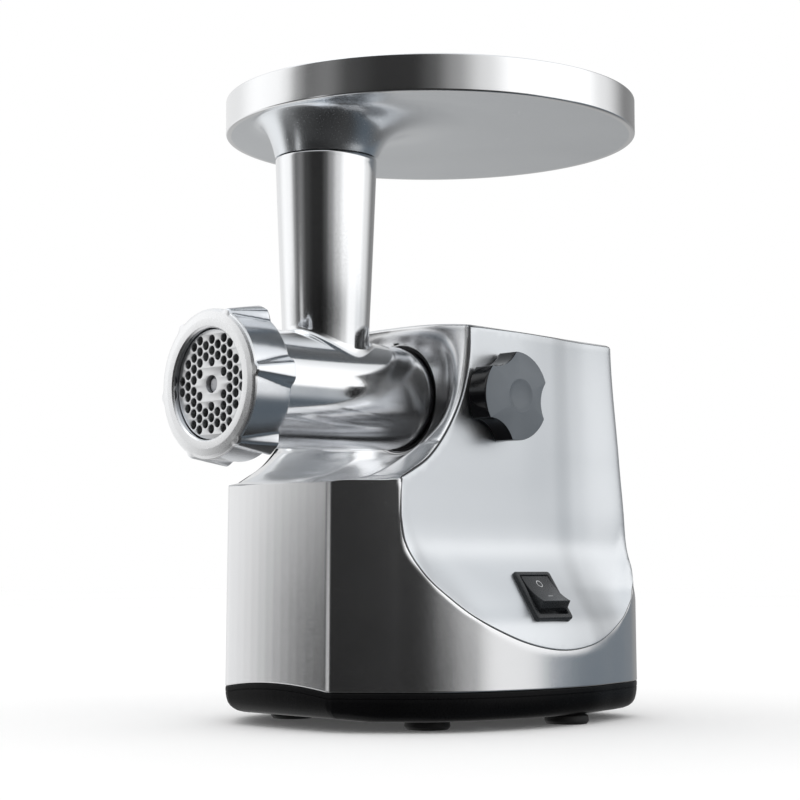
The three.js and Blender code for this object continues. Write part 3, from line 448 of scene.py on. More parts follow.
def seat_surface():
    C, L = dense_ring(CREASE), dense_ring(LIP)
    d = np.stack([C[:, 0], C[:, 2] - AXZ], 1)
    d /= np.linalg.norm(d, axis=1)[:, None]
    P0 = np.stack([30 * d[:, 0], np.full(len(C), 127.0), AXZ + 30 * d[:, 1]], 1)
    rows = [np.stack([1 * d[:, 0], np.full(len(C), 127.0), AXZ + 1 * d[:, 1]], 1), P0 + [0, 0.4, 0] * 1]
    m = np.stack([C[:, 0] * 0.9, 127 - 0.18 * (127 - C[:, 1]), C[:, 2]], 1)
    for t in np.linspace(0, 1, 26):
        rows.append((1 - t) ** 2 * P0 + 2 * t * (1 - t) * m + t * t * C)
    u = (L - C)
    ln = np.linalg.norm(u, axis=1)[:, None]
    for t in np.linspace(0.15, 1, 7):
        rows.append(C + u * t)
    for k in (5, 15, 30, 60):
        rows.append(L + u / ln * k)
    G = np.array(rows)
    # the crease is crisp low down and melts into the rim higher up
    for c in range(G.shape[1]):
        col = resample(G[:, c], 150)
        s_ = np.linalg.norm(np.diff(col, axis=0), axis=1).mean()
        soft = np.interp(C[c, 2], [122, 140, 165, 180], [0.5, 0.9, 3.0, 4.5]) / s_
        k = np.arange(-24, 25)
        w = np.exp(-0.5 * (k / max(soft, 0.3)) ** 2)
        w /= w.sum()
        pad = np.vstack([2 * col[0] - col[1:25][::-1], col, 2 * col[-1] - col[-25:-1][::-1]])
        sm = np.stack([np.convolve(pad[:, a], w, "valid") for a in range(3)], 1)
        if c == 0:
            big = np.zeros((len(sm), G.shape[1], 3))
        big[:, c] = sm
    return big


def bvh(grid):
    r, c, _ = grid.shape
    return BVHTree.FromPolygons([Vector(p) for p in grid.reshape(-1, 3)], grid_faces(r, c, True, False))


ey = np.arange(66.4, 232.1, 2.0)
ex = np.interp(ey, side[:, 1], side[:, 0]) - draft(EDGE(ey)) - panel_x(ey, EDGE(ey))
k5 = np.ones(7) / 7
ex = np.convolve(np.r_[[ex[0]] * 3, ex, [ex[-1]] * 3], k5, "valid")
EDGE_DX.append(pchip(np.r_[0, 60, ey, 240, 300], np.r_[0, 0, ex, 0, 0]))


def build_body():
    seat = bvh(seat_surface())
    yc = 180.0
    nth = 960
    # columns evenly spaced round the axis
    th = np.arange(nth) * TAU / nth
    # z rows
    k = 1.0
    z = np.r_[np.linspace(SEAM, 120.6, int(118 / k)), np.linspace(120.8, 124.5, int(30 / k)), np.linspace(124.8, 142, int(46 / k))]
    tops = np.linspace(0.01, 1, int(72 / k))
    roll = 1.7
    S = SKIRT
    dirs = np.stack([np.sin(th), -np.cos(th)], 1)
    # skirt radius at each angle (outline is star shaped about the axis)
    ang = np.unwrap(np.arctan2(S[:, 0], -(S[:, 1] - yc)))
    rad = np.hypot(S[:, 0], S[:, 1] - yc)
    o = np.argsort(ang % TAU)
    r_sk = np.interp(th, (ang % TAU)[o], rad[o], period=TAU)
    rows = []
    zr = []
    zlast = np.full(nth, 198.0)

    def one(zz):
        rs = r_sk - draft(zz)
        a = np.zeros(nth)
        b = np.full(nth, 200.0)
        for _ in range(26):
            m = 0.5 * (a + b)
            x = np.abs(m * dirs[:, 0])
            y = yc + m * dirs[:, 1]
            ins = (x < panel_x(y, zz)) & (y < 245.2 + 6 * (TOP - np.minimum(zz, TOP)) / 180)
            a = np.where(ins, m, a)
            b = np.where(ins, b, m)
        rp = 0.5 * (a + b)
        rf = np.full(nth, 1e3)
        if zz.max() > 121.4:
            for i in range(nth):
                if abs((th[i] + math.pi) % TAU - math.pi) < 1.45:
                    hit = seat.ray_cast(Vector((0, yc, zz[i])), Vector((dirs[i, 0], dirs[i, 1], 0)))
                    if hit[3] is not None:
                        rf[i] = hit[3]
        return rs, rp, rf

    for _ in range(3):
        q = one(zlast)
        rr = np.minimum(np.minimum(q[0], q[1]), q[2])
        zlast = crown(rr * dirs[:, 0], yc + rr * dirs[:, 1]) - roll
    for zz in z:
        zr.append(np.full(nth, zz))
    for t in tops:
        zr.append(142 + (zlast - 142) * t)
    rows = [one(zz) for zz in zr]
    Z = np.array(zr)
    rs = np.array([r[0] for r in rows])
    rp = np.array([r[1] for r in rows])
    rf = np.array([r[2] for r in rows])

    def smin(a, b, kk):
        h = np.clip(0.5 + 0.5 * (b - a) / kk, 0, 1)
        return b * (1 - h) + a * h - kk * h * (1 - h)

    r = smin(rs, rp, 1.0)
    r = np.where(rf < 900, smin(r, rf, 1.4), r)
    soft = r.copy()
    for _ in range(10):
        soft = (np.roll(soft, 1, 1) + 2 * soft + np.roll(soft, -1, 1)) / 4
        up_ = np.vstack([soft[:1], soft[:-1]])
        dn_ = np.vstack([soft[1:], soft[-1:]])
        soft = (up_ + 2 * soft + dn_) / 4
    w = np.clip((Z - 122.3) / 1.2, 0, 1)
    r = r * (1 - w) + soft * w
    pts = np.stack([r * dirs[:, 0], yc + r * dirs[:, 1], Z], -1)
    # arch of the lower edge under the nose
    arch = 3.0 * np.clip(1 - (pts[..., 0] / 39) ** 2, 0, 1) * np.clip((60 - pts[..., 1]) / 14, 0, 1)
    pts[..., 2] += arch * np.clip(1 - (pts[..., 2] - SEAM) / 25, 0, 1)
    # rolled lower edge, turned in
    first = pts[:1].copy()
    cen = np.array([0, yc])

    def pull(row, d, dz):
        q = row.copy()
        u = q[..., :2] - cen
        q[..., :2] -= u / np.linalg.norm(u, axis=-1)[..., None] * d
        q[..., 2] += dz
        return q
    lower = np.concatenate([pull(first, 6, 1.6), pull(first, 1.4, 0.0), pull(first, 0.6, -0.15), pull(first, 0.12, 0.02)], 0)
    pts[0, :, 2] += 0.45
    # top: roll over, then close along the crown
    last = pts[-1]
    top = []
    u = last[:, :2] - cen
    ln = np.linalg.norm(u, axis=1)
    u = u / ln[:, None]
    for kk in range(1, 8):
        a = kk / 7 * math.pi / 2
        q = last.copy()
        q[:, :2] -= u * roll * (1 - math.cos(a))
        q[:, 2] = last[:, 2] + (crown(q[:, 0], q[:, 1]) - last[:, 2]) * math.sin(a)
        top.append(q)
    edge = top[-1]
    for sc_ in np.linspace(0.975, 0.0, 30):
        q = edge.copy()
        q[:, 0] = edge[:, 0] * sc_
        q[:, 1] = yc + (edge[:, 1] - yc) * sc_
        q[:, 2] = crown(q[:, 0], q[:, 1])
        top.append(q)
    P = np.concatenate([lower, pts, np.array(top)], 0)
    rws, cls = P.shape[:2]
    F = np.array(grid_faces(rws, cls))
    # leave the round socket open
    flat = P.reshape(-1, 3)
    cc = flat[F].mean(1)
    hole = (np.hypot(cc[:, 0], cc[:, 2] - AXZ) < 29.2) & (cc[:, 1] < 140)
    ob = obj_from("body_shell", flat, F[~hole].tolist(), [m_body], "base", ["main_housing"], smooth=None)
    return facing_out(ob)


body = build_body()


# ---------------------------------------------------------------- side covers
seam_pts = [(114.9, 201.4), (114.6, 194), (114.3, 187.2), (111.9, 174.5), (107.2, 161.5), (97.9, 146.4), (86.6, 134.4), (75.3, 127.6), (67.6, 123.4)]
low_pts = [(y, float(EDGE(y)) + 0.25) for y in (67, 68.2, 69.5, 71, 73.3, 75.7, 79, 83.3, 92, 102, 112.8, 127.5, 143.8, 160, 177, 193, 206, 215, 221, 226)]
cover_line = np.vstack([
    catmull(seam_pts, 12)[:-1], catmull(low_pts, 12)[:-1],
    catmull([low_pts[-1], (231, 70.5), (234, 79), (235.6, 90), (236.2, 110), (236.2, 150), (236, 200.1)], 12)[:-1],
    np.array([(236, 200.1), (190, 200.6), (150, 201.1), (114.9, 201.4)])[:-1],
])
N_COVER = 640
OUTLINE = resample(cover_line, N_COVER, True)
front_seam = np.clip((OUTLINE[:, 1] - 122) / 4, 0, 1) * np.clip((118 - OUTLINE[:, 0]) / 2, 0, 1) * np.clip((201.2 - OUTLINE[:, 1]) / 0.5, 0, 1)
GAPS = 0.2 + 0.75 * front_seam
GAPS = np.convolve(np.r_[GAPS[-8:], GAPS, GAPS[:8]], np.ones(17) / 17, "valid")[:, None]


def cover_piece(sign, name, node):
    from mathutils.geometry import delaunay_2d_cdt
    P = offset2(OUTLINE, GAPS)
    up, rr = 0.55, 0.75
    rings = []

    def ring(Q, h):
        return np.stack([sign * (panel_x(Q[:, 0], Q[:, 1]) + h), Q[:, 0], Q[:, 1]], 1)
    rings.append(ring(P, -1.6))
    rings.append(ring(P, up - rr))
    for k in range(1, 6):
        a = k / 5 * math.pi / 2
        rings.append(ring(offset2(P, rr * (1 - math.cos(a))), up - rr * (1 - math.sin(a))))
    Q0 = offset2(P, rr)
    G = np.array(rings)
    faces = grid_faces(len(rings), N_COVER)
    verts = G.reshape(-1, 3)
    step = 2.6
    ys = np.arange(60, 240, step)
    zs = np.arange(30, 204, step)
    gy, gz = np.meshgrid(ys, zs, indexing="ij")
    gy = gy + (np.arange(len(zs))[None] % 2) * step / 2
    cand = np.stack([gy.ravel(), gz.ravel()], 1)
    # keep candidates that lie inside and away from the edge
    x1, y1 = Q0[:, 0], Q0[:, 1]
    x2, y2 = np.roll(x1, -1), np.roll(y1, -1)
    cx, cy = cand[:, :1], cand[:, 1:]
    cross = ((y1[None] > cy) != (y2[None] > cy)) & (cx < (x2 - x1)[None] * (cy - y1[None]) / np.where(y2 == y1, 1e-9, y2 - y1)[None] + x1[None])
    odd = cross.sum(1) % 2 == 1
    far = np.sqrt(((cand[:, None, :] - Q0[None, ::2]) ** 2).sum(-1)).min(1) > 1.3
    cand = cand[odd & far]
    pts2 = [Vector(q) for q in Q0] + [Vector(q) for q in cand]
    res = delaunay_2d_cdt(pts2, [], [list(range(N_COVER))], 1, 1e-5)
    V2 = np.array([tuple(v) for v in res[0]])
    tri = [list(f) for f in res[2]]
    base = len(verts)
    verts = np.vstack([verts, ring(V2, up)])
    faces += [[base + i for i in f] for f in tri]
    ob = obj_from(name, verts, faces, [m_panel], "base", [node], smooth=None)
    bm = bmesh.new()
    bm.from_mesh(ob.data)
    bmesh.ops.remove_doubles(bm, verts=bm.verts, dist=2e-6)
    bmesh.ops.recalc_face_normals(bm, faces=bm.faces)
    bm.to_mesh(ob.data)
    bm.free()
    me = ob.data
    out = sum(p.normal.x * p.area for p in me.polygons)
    if out * sign < 0:
        me.flip_normals()
    me.shade_smooth()
    me.set_sharp_from_angle(angle=math.radians(50))
    return ob


def strip_piece(sign, name):
    """Dark shut line round a cover: a thin flat band lying on the shell, painted shade for the gap between cover and
    shell.
    """
    rows = []
    for off, dep in ((GAPS * 0 - 0.02, 0.25), (GAPS * 0 + 0.04, -0.05), (GAPS + 0.5, -0.05), (GAPS + 0.6, 1.0)):
        Q = offset2(OUTLINE, off)
        rows.append(np.stack([sign * (panel_x(Q[:, 0], Q[:, 1]) - dep), Q[:, 0], Q[:, 1]], 1))
    return obj_from(name, np.array(rows).reshape(-1, 3), grid_faces(len(rows), N_COVER), [m_gap_shade], "base", (), smooth=40)


cover_r = cover_piece(1, "side_cover_right", "right_side_cover")
cover_l = cover_piece(-1, "side_cover_left", "left_side_cover")
strip_piece(1, "shut_line_right")
strip_piece(-1, "shut_line_left")


# ---------------------------------------------------------------- rear cover, gland
def rear_y(x, z):
    """Outer face of the rear wall."""
    lo, hi = np.full_like(x, 230.0), np.full_like(x, 252.0)
    for _ in range(22):
        m = 0.5 * (lo + hi)
        ins = np.abs(x) < panel_x(m, z)
        back = 6 * (TOP - z) / 180
        ins &= m < 245.2 + back
        lo = np.where(ins, m, lo)
        hi = np.where(ins, hi, m)
    return 0.5 * (lo + hi)


def rear_cover():
    w, z0, z1, rad = 43.0, 50.5, 181.5, 5.0
    a = np.linspace(0, math.pi / 2, 9)
    corner = np.stack([rad * np.cos(a), rad * np.sin(a)], 1)
    pts = []
    for sx, sz, flip in ((1, 1, 0), (-1, 1, 1), (-1, -1, 0), (1, -1, 1)):
        c = np.array([sx * (w - rad), (z1 - rad) if sz > 0 else (z0 + rad)])
        q = corner * [sx, sz]
        pts.append(c + (q[::-1] if flip else q))
    P = resample(np.vstack(pts), 240, True)
    rows = []
    for off, up in ((0, -0.6), (0, 0.35), (0.25, 0.75), (0.9, 0.95), (6, 0.95)):
        Q = offset2(P, off)
        rows.append(np.stack([Q[:, 0], rear_y(Q[:, 0], Q[:, 1]) + up, Q[:, 1]], 1))
    c = np.array([0.0, 116.0])
    Qi = offset2(P, 6)
    for s in np.linspace(0.94, 0.04, 16):
        Q = c + (Qi - c) * s
        rows.append(np.stack([Q[:, 0], rear_y(Q[:, 0], Q[:, 1]) + 0.95, Q[:, 1]], 1))
    G = np.array(rows)
    F = grid_faces(len(rows), 240)
    last = (len(rows) - 1) * 240
    F.append([last + i for i in range(240)])
    ob = obj_from("rear_panel", G.reshape(-1, 3), F, [m_body], "base", ["rear_cover"], smooth=45)
    facing_out(ob)
    # louvres: a raised lip each, and a flat dark sheet in each slot as painted shade for the opening
    for k in range(7):
        z = 68 + 9 * k
        n = 96
        a = np.arange(n) * TAU / n
        hx, hz, r = 33.0, 1.7, 1.7
        base = np.stack([np.clip(np.cos(a) * 1e3, -1, 1) * (hx - r) + r * np.cos(a), r * np.sin(a)], 1)
        rows = []
        for grow, up in ((1.3, 0.9), (1.1, 1.35), (0.55, 1.55), (0.0, 1.3), (-0.1, 1.0)):
            q = base + np.stack([np.cos(a), np.sin(a)], 1) * grow
            rows.append(np.stack([q[:, 0], rear_y(q[:, 0], np.full(n, z)) + up, z + q[:, 1]], 1))
        G = np.array(rows)
        lip = obj_from("louvre_lip_%d" % k, G.reshape(-1, 3), grid_faces(5, n), [m_body], "base", (), smooth=60)
        facing_out(lip)
        q = base * [1, 0.98]
        G = np.stack([q[:, 0], rear_y(q[:, 0], np.full(n, z)) + 1.02, z + q[:, 1]], 1)
        obj_from("louvre_slot_%d" % k, G, [list(range(n))], [m_gap_shade], "base", (), smooth=None)


rear_cover()
turned("gland", [(3.6, 246), (3.6, 256.6, .4), (5.6, 257.4, .6), (6.4, 255.2, .5), (8.6, 254.2, .6), (9.4, 252.4, .4), (9.4, 250.2)], 64, "y", (-30, 34),
       [m_dark], "base", ["cord_gland"], shape=None)

# ---------------------------------------------------------------- base and feet
def base_piece():
    n = 900
    P = SKIRT
    P = resample(P, n, True)
    rows = []
    levels = [(6.0, 18.6, 1), (0.9, 19.3, 1), (0.35, 19.35, 1), (0.1, 19.1, 1), (0.05, 18.2, 1), (0.05, 17.0, 1), (0.32, 16.85, 1), (0.34, 16.55, 1), (0.12, 16.4, 1),
              (0.25, 14.5, .6), (0.6, 12.0, .3), (1.3, 9.6, .1), (2.6, 7.6, 0), (4.4, 6.2, 0), (6.6, 5.35, 0), (9.2, 5.05, 0), (12, 5.0, 0)]
    for off, z, k in levels:
        Q = offset2(P, off)
        arch = 3.0 * np.clip(1 - (Q[:, 0] / 39) ** 2, 0, 1) * np.clip((60 - Q[:, 1]) / 14, 0, 1)
        lift = np.clip((62 - Q[:, 1]) / 14, 0, 1) * 1.9 * (1 - k)
        rows.append(np.stack([Q[:, 0], Q[:, 1], z + arch * k + lift], 1))
    G = np.array(rows)
    F = grid_faces(len(rows), n)
    last = (len(rows) - 1) * n
    F.append([last + i for i in range(n)])
    ob = obj_from("base_shell", G.reshape(-1, 3), F, [m_base], "base", ["base_tray"], smooth=32)
    return facing_out(ob)


base_piece()
for i, (x, y) in enumerate([(52, 98), (-52, 98), (73, 177), (-73, 177)]):
    turned("foot_pad_%d" % (i + 1), [(0, 0.9), (6.2, 0.9, .4), (7.2, 0, .3), (10.4, 0, .5), (11.5, 1.6, .9), (11.2, 4.2, .4), (10.2, 4.7), (8, 6.0), (0, 6.0)], 64, "z", (x, y),
           [m_rubber], "base", ["foot_%d" % (i + 1)])
for i, (x, y) in enumerate([(65, 124), (-65, 124), (61, 200), (-61, 200)]):
    turned("base_screw_head_%d" % (i + 1), [(0, 4.9), (1.2, 4.9), (2.0, 4.2, .2), (3.4, 4.2, .4), (4.1, 4.9), (4.1, 6)], 32, "z", (x, y), [m_steel], "base", ["base_screw_%d" % (i + 1)])
# base vents: flat dark sheets, painted shade for the vent openings
for k in range(4):
    n = 80
    a = np.arange(n) * TAU / n
    y0 = 192 + 10 * k
    q = np.stack([np.clip(np.cos(a) * 1e3, -1, 1) * 26 + 2 * np.cos(a), y0 + 2 * np.sin(a)], 1)
    obj_from("base_vent_%d" % k, np.column_stack([q, np.full(n, 4.97)]), [list(range(n))], [m_gap_shade], "base", (), smooth=None)

# ---------------------------------------------------------------- head: barrel and feed tube
TUBE_Y, TUBE_TOP = 75.7, 290.3
BARREL = fillet([(25.0, 137.4), (25.0, 127.6), (26.4, 126.6, 2.0), (27.4, 119.5, 5), (28.0, 108), (28.7, 85), (29.6, 50), (30.5, 23), (31.2, 20), (34.0, 19, .6), (34.0, 7.4, .5), (31.4, 7.0)], 8)
bar_r = lambda y: np.interp(y, [20, 23, 50, 85, 108, 119.5, 126], [30.8, 30.5, 29.6, 28.7, 28.0, 27.4, 26.4])
tube_r = pchip([180, 196, 225, 258, 289, 290.3], [21.8, 22.3, 23.6, 25.0, 26.25, 26.3])


def head_piece():
    n = 256
    objs = []
    a = np.arange(n) * TAU / n
    prof = densify(BARREL, 4.0)
    rows = [np.stack([r * np.cos(a), np.full(n, y), AXZ + r * np.sin(a)], 1) for r, y in prof]
    inner = fillet([(31.4, 7.0), (31.3, 10.6), (27.6, 10.8), (27.2, 24), (25.4, 100), (23.5, 106, 1.5), (8, 106)], 5)
    rows += [np.stack([r * np.cos(a), np.full(n, y), AXZ + r * np.sin(a)], 1) for r, y in densify(inner, 8.0)[1:]]
    G = np.array(rows)
    F = np.array(grid_faces(len(rows), n))
    flat = G.reshape(-1, 3)
    cc = flat[F].mean(1)
    # open the throat through the barrel's upper wall
    gone = (np.hypot(cc[:, 0], cc[:, 1] - TUBE_Y) < 17.8) & (cc[:, 2] > AXZ)
    F = F[~gone].tolist()
    F.append(list(range(n))[::-1])
    verts = [flat]
    base = len(flat)
    # tube: outside rows down to a small fillet on the barrel
    m = 288
    p = np.arange(m) * TAU / m
    fr = 3.2

    def on_barrel(rr):
        z = np.full(m, AXZ + 20.0)
        x = rr * np.cos(p)
        y = TUBE_Y + rr * np.sin(p)
        return AXZ + np.sqrt(np.maximum(bar_r(y) ** 2 - x ** 2, 0.0))
    rim_in = [(24.0 - 0.2, 284), (24.0, 289.2), (24.3, 290.1), (24.8, 290.3), (25.6, 290.3), (26.1, 290.05), (26.3, 289.4)]
    rows = []
    for r, z in [(18.6, 186), (18.9, 192), (19.6, 200), (21.5, 235), (23.6, 270)] + rim_in:
        rows.append(np.stack([r * np.cos(p), TUBE_Y + r * np.sin(p), np.full(m, float(z))], 1))
    for z in np.linspace(288.5, 206, 44):
        r = float(tube_r(z))
        rows.append(np.stack([r * np.cos(p), TUBE_Y + r * np.sin(p), np.full(m, z)], 1))
    r0 = float(tube_r(200))
    zi = on_barrel(r0)
    top = rows[-1]
    for t in np.linspace(0.15, 1, 10):
        z = top[:, 2] + (zi + fr - top[:, 2]) * t
        r = np.array([float(tube_r(q)) for q in z])
        rows.append(np.stack([r * np.cos(p), TUBE_Y + r * np.sin(p), z], 1))
    r_out = r0 + fr
    zo = on_barrel(np.minimum(r_out, 200))
    s = rows[-1]
    e = np.stack([r_out * np.cos(p), TUBE_Y + r_out * np.sin(p), zo], 1)
    ctl = np.stack([r0 * np.cos(p), TUBE_Y + r0 * np.sin(p), zi], 1)
    for t in np.linspace(0.1, 1, 10):
        rows.append((1 - t) ** 2 * s + 2 * t * (1 - t) * ctl + t * t * e)
    sink = rows[-1].copy()
    sink[:, 2] -= 0.8
    rows.append(sink)
    G = np.array(rows)
    F2 = grid_faces(len(rows), m, start=base)
    verts.append(G.reshape(-1, 3))
    allv = np.vstack(verts)
    ob = obj_from("head_alloy", allv, F + F2, [m_polish], "head", ["head_casting"], smooth=38)
    return facing_out(ob)


head_piece()


# ---------------------------------------------------------------- ring nut
def nut_shape(R, H, A):
    k = np.zeros_like(A)
    for i in range(6):
        c = math.radians(7.5 + 60 * i)
        d = np.abs(np.arctan2(np.sin(A - c), np.cos(A - c)))
        w0 = np.interp(H, [0, 22], [0.01, 0.075])
        w1 = np.interp(H, [0, 22], [0.10, 0.235])
        k = np.maximum(k, 0.5 + 0.5 * np.cos(np.clip((d - w0) / (w1 - w0), 0, 1) * math.pi))
    amp = np.interp(H, [-1.2, 0.2, 21.5, 22.5], [0.8, 1.4, 3.9, 3.5])
    on = np.clip((R - 35.0) / 1.6, 0, 1)
    return R + k * amp * on, H


def nut_mat(c):
    x, y, z = c.x * 1000, c.y * 1000 + MID, c.z * 1000
    return 1 if (y < 2.2 and math.hypot(x, z - AXZ) < 37.2) else 0


turned("nut_ring", [(27.4, 4.9), (27.4, -0.1, .4), (28.2, -1.0, .5), (32, -0.95, 3), (35.3, -0.5, 1.5), (36.7, 0.15, .5), (37.0, 1.3, .6), (37.05, 4), (37.1, 7), (37.2, 10), (37.25, 14), (37.3, 18), (37.3, 21.6, .5), (36.6, 22.5, .4), (34.5, 22.5), (34.5, 6.6), (33, 5)],
       720, "y", (0, AXZ), [m_nut, m_nut_face], "ring_nut", ["ring_nut"], loop=True, shape=nut_shape, mat_of=nut_mat, smooth=40)


# ---------------------------------------------------------------- screen plate
def plate_piece():
    cu = bpy.data.curves.new("plate_curve", "CURVE")
    cu.dimensions = "2D"
    cu.fill_mode = "BOTH"
    cu.extrude = 0.0038
    cu.bevel_depth = 0.00022
    cu.bevel_resolution = 2

    def loop(cx, cz, r, n, gap=None):
        sp = cu.splines.new("POLY")
        a = np.arange(n) * TAU / n
        sp.points.add(n - 1)
        for i, t in enumerate(a):
            sp.points[i].co = ((cx + r * math.cos(t)) / 1000, (cz + r * math.sin(t)) / 1000, 0, 1)
        sp.use_cyclic_u = True
    loop(0, 0, 26.68, 180)
    loop(0, 0, 4.55, 40)
    dx = 5.5 * math.sqrt(3) / 2
    for i in range(-6, 7):
        for j in range(-6, 7):
            x, z = i * dx, (j + (0.5 if i & 1 else 0)) * 5.5
            if 10.5 < math.hypot(x, z) < 24.3:
                loop(x, z, 2.25 + 0.22, 26)
    tmp = bpy.data.objects.new("plate_tmp", cu)
    COL.objects.link(tmp)
    dg = bpy.context.evaluated_depsgraph_get()
    me = bpy.data.meshes.new_from_object(tmp.evaluated_get(dg))
    bpy.data.objects.remove(tmp)
    me.transform(Matrix.Translation((0, (6.25 - MID) / 1000, AXZ / 1000)) @ Matrix.Rotation(math.pi / 2, 4, "X"))
    bm = bmesh.new()
    bm.from_mesh(me)
    bmesh.ops.remove_doubles(bm, verts=bm.verts, dist=1e-7)
    bmesh.ops.recalc_face_normals(bm, faces=bm.faces)
    bm.to_mesh(me)
    bm.free()
    me.materials.clear()
    me.materials.append(m_plate)
    ob = bpy.data.objects.new("plate_disc", me)
    COL.objects.link(ob)
    me.shade_smooth()
    me.set_sharp_from_angle(angle=math.radians(32))
    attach(ob, "head")
    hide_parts("screen_plate")


plate_piece()


# ---------------------------------------------------------------- auger
def auger_piece():
    n, rows, pitch = 96, 320, 28.0
    y = np.linspace(19.2, 104.6, rows)
    a = np.arange(n) * TAU / n
    Y, A = np.meshgrid(y, a, indexing="ij")
    top = 26.2 - (Y - 19.4) / 85 * 2.2
    core = 9.8 + (Y - 19.4) / 85 * 1.5
    fade = np.clip(np.minimum((104.8 - Y) / 6, (Y - 17) / 5), 0, 1)
    ph = (A - TAU * Y / pitch) % TAU
    d = np.minimum(ph, TAU - ph)
    w = np.clip((0.62 - d) / 0.34, 0, 1)
    w = w * w * (3 - 2 * w)
    R = core + (top - core) * w * fade
    pts = np.stack([R * np.cos(A), Y, AXZ + R * np.sin(A)], -1)
    F = grid_faces(rows, n)
    F.append(list(range(n))[::-1])
    F.append([(rows - 1) * n + i for i in range(n)])
    ob = obj_from("auger_screw", pts.reshape(-1, 3), F, [m_cast], "auger", ["auger"], smooth=50)
    facing_out(ob)
    turned("auger_pin", [(0, 3.8), (2.6, 3.8, .3), (4.0, 4.6, .5), (4.0, 10.4), (3.4, 10.5), (3.4, 20), (0, 20)], 48, "y", (0, AXZ), [m_steel], "auger", ())
    turned("auger_tail", [(0, 103), (7, 103), (7, 136.5, .4), (5.4, 137.4), (0, 137.4)], 48, "y", (0, AXZ), [m_steel], "auger", ())
    # hexagonal drive end
    sh = lambda R, H, A: (R * (math.cos(math.pi / 6) / np.cos((A % (TAU / 6)) - math.pi / 6)), H)
    turned("auger_drive", [(0, 137), (4.6, 137), (4.6, 148.2, .5), (3.8, 149), (0, 149)], 72, "y", (0, AXZ), [m_steel], "auger", (), shape=sh)


auger_piece()
# dark ring between barrel and socket lip: painted shade for the gap round the barrel's end
turned("collar_ring", [(25.6, 138), (25.6, 129.2, .3), (27.1, 128.3, .4), (27.9, 128.8, .3), (27.9, 137.8)], 160, "y", (0, AXZ), [m_dark], "base", ["socket_collar"], loop=True)
turned("socket_lip", [(27.7, 134), (27.7, 128.0, .5), (28.8, 126.9, .8), (31.2, 127.3, .5), (31.2, 134)], 200, "y", (0, AXZ), [m_body], "base", (), loop=True)


# ---------------------------------------------------------------- feed tray
def tray_piece():
    n = 320
    tb = [(290.75, 49.3, 102.1), (295, 48.5, 104.2), (300, 47.2, 107.8), (304.5, 45.8, 113.5), (308, 44.6, 121.5), (310.5, 43.6, 132),
          (311.9, 42.9, 147), (312.35, 42.5, 168), (312.4, 42.3, 200), (312.4, 42.2, 258.3)]
    T = catmull(np.array([(z, a, b) for z, a, b in tb]), 7)
    rings = [((a + b) / 2, (b - a) / 2, z, 0) for z, a, b in T]
    # band: lower radius, wall, rim, inside, floor
    band = fillet([(108.6, 312.4), (111.0, 312.4, 2.8), (111.0, 331.3, 1.0), (109.2, 331.3, .8), (108.9, 314.4, 3.0), (104, 314.4)], 7)
    rings += [(150.4, r, z, 1 if (r > 110.2) else 2) for r, z in densify(band, 3.0)[1:]]
    # inside funnel, back to the neck
    Ti = T[::-1]
    for z, a, b in Ti:
        if b > 250:
            continue
        cy, r = (a + b) / 2, (b - a) / 2
        rings.append((cy, r - 1.9, z + 2.0 if z > 300 else z + 1.2, 2))
    rings += [(75.7, 23.2, 291.4, 2), (75.7, 21.8, 289.5, 2), (75.7, 21.5, 287, 2), (75.7, 21.5, 274.6, 2), (75.7, 22.2, 274, 2), (75.7, 23.2, 274.2, 2), (75.7, 23.5, 275, 2), (75.7, 23.5, 290.2, 2), (75.7, 24.2, 290.6, 2)]
    a = np.arange(n) * TAU / n
    G = np.array([np.stack([r * np.cos(a), cy + r * np.sin(a), np.full(n, z)], 1) for cy, r, z, _ in rings])
    F = grid_faces(len(rings), n, True, True)
    kinds = [rings[i][3] for i in range(len(rings))]
    fm = []
    for i in range(len(rings)):
        k = kinds[(i + 1) % len(rings)]
        fm += [{0: 1, 1: 0, 2: 0}[k]] * n
    ob = obj_from("tray_dish", G.reshape(-1, 3), F, [m_tray, m_tray_under], "tray", ["feed_tray"], smooth=40, face_mat=fm)
    return facing_out(ob)


tray_piece()


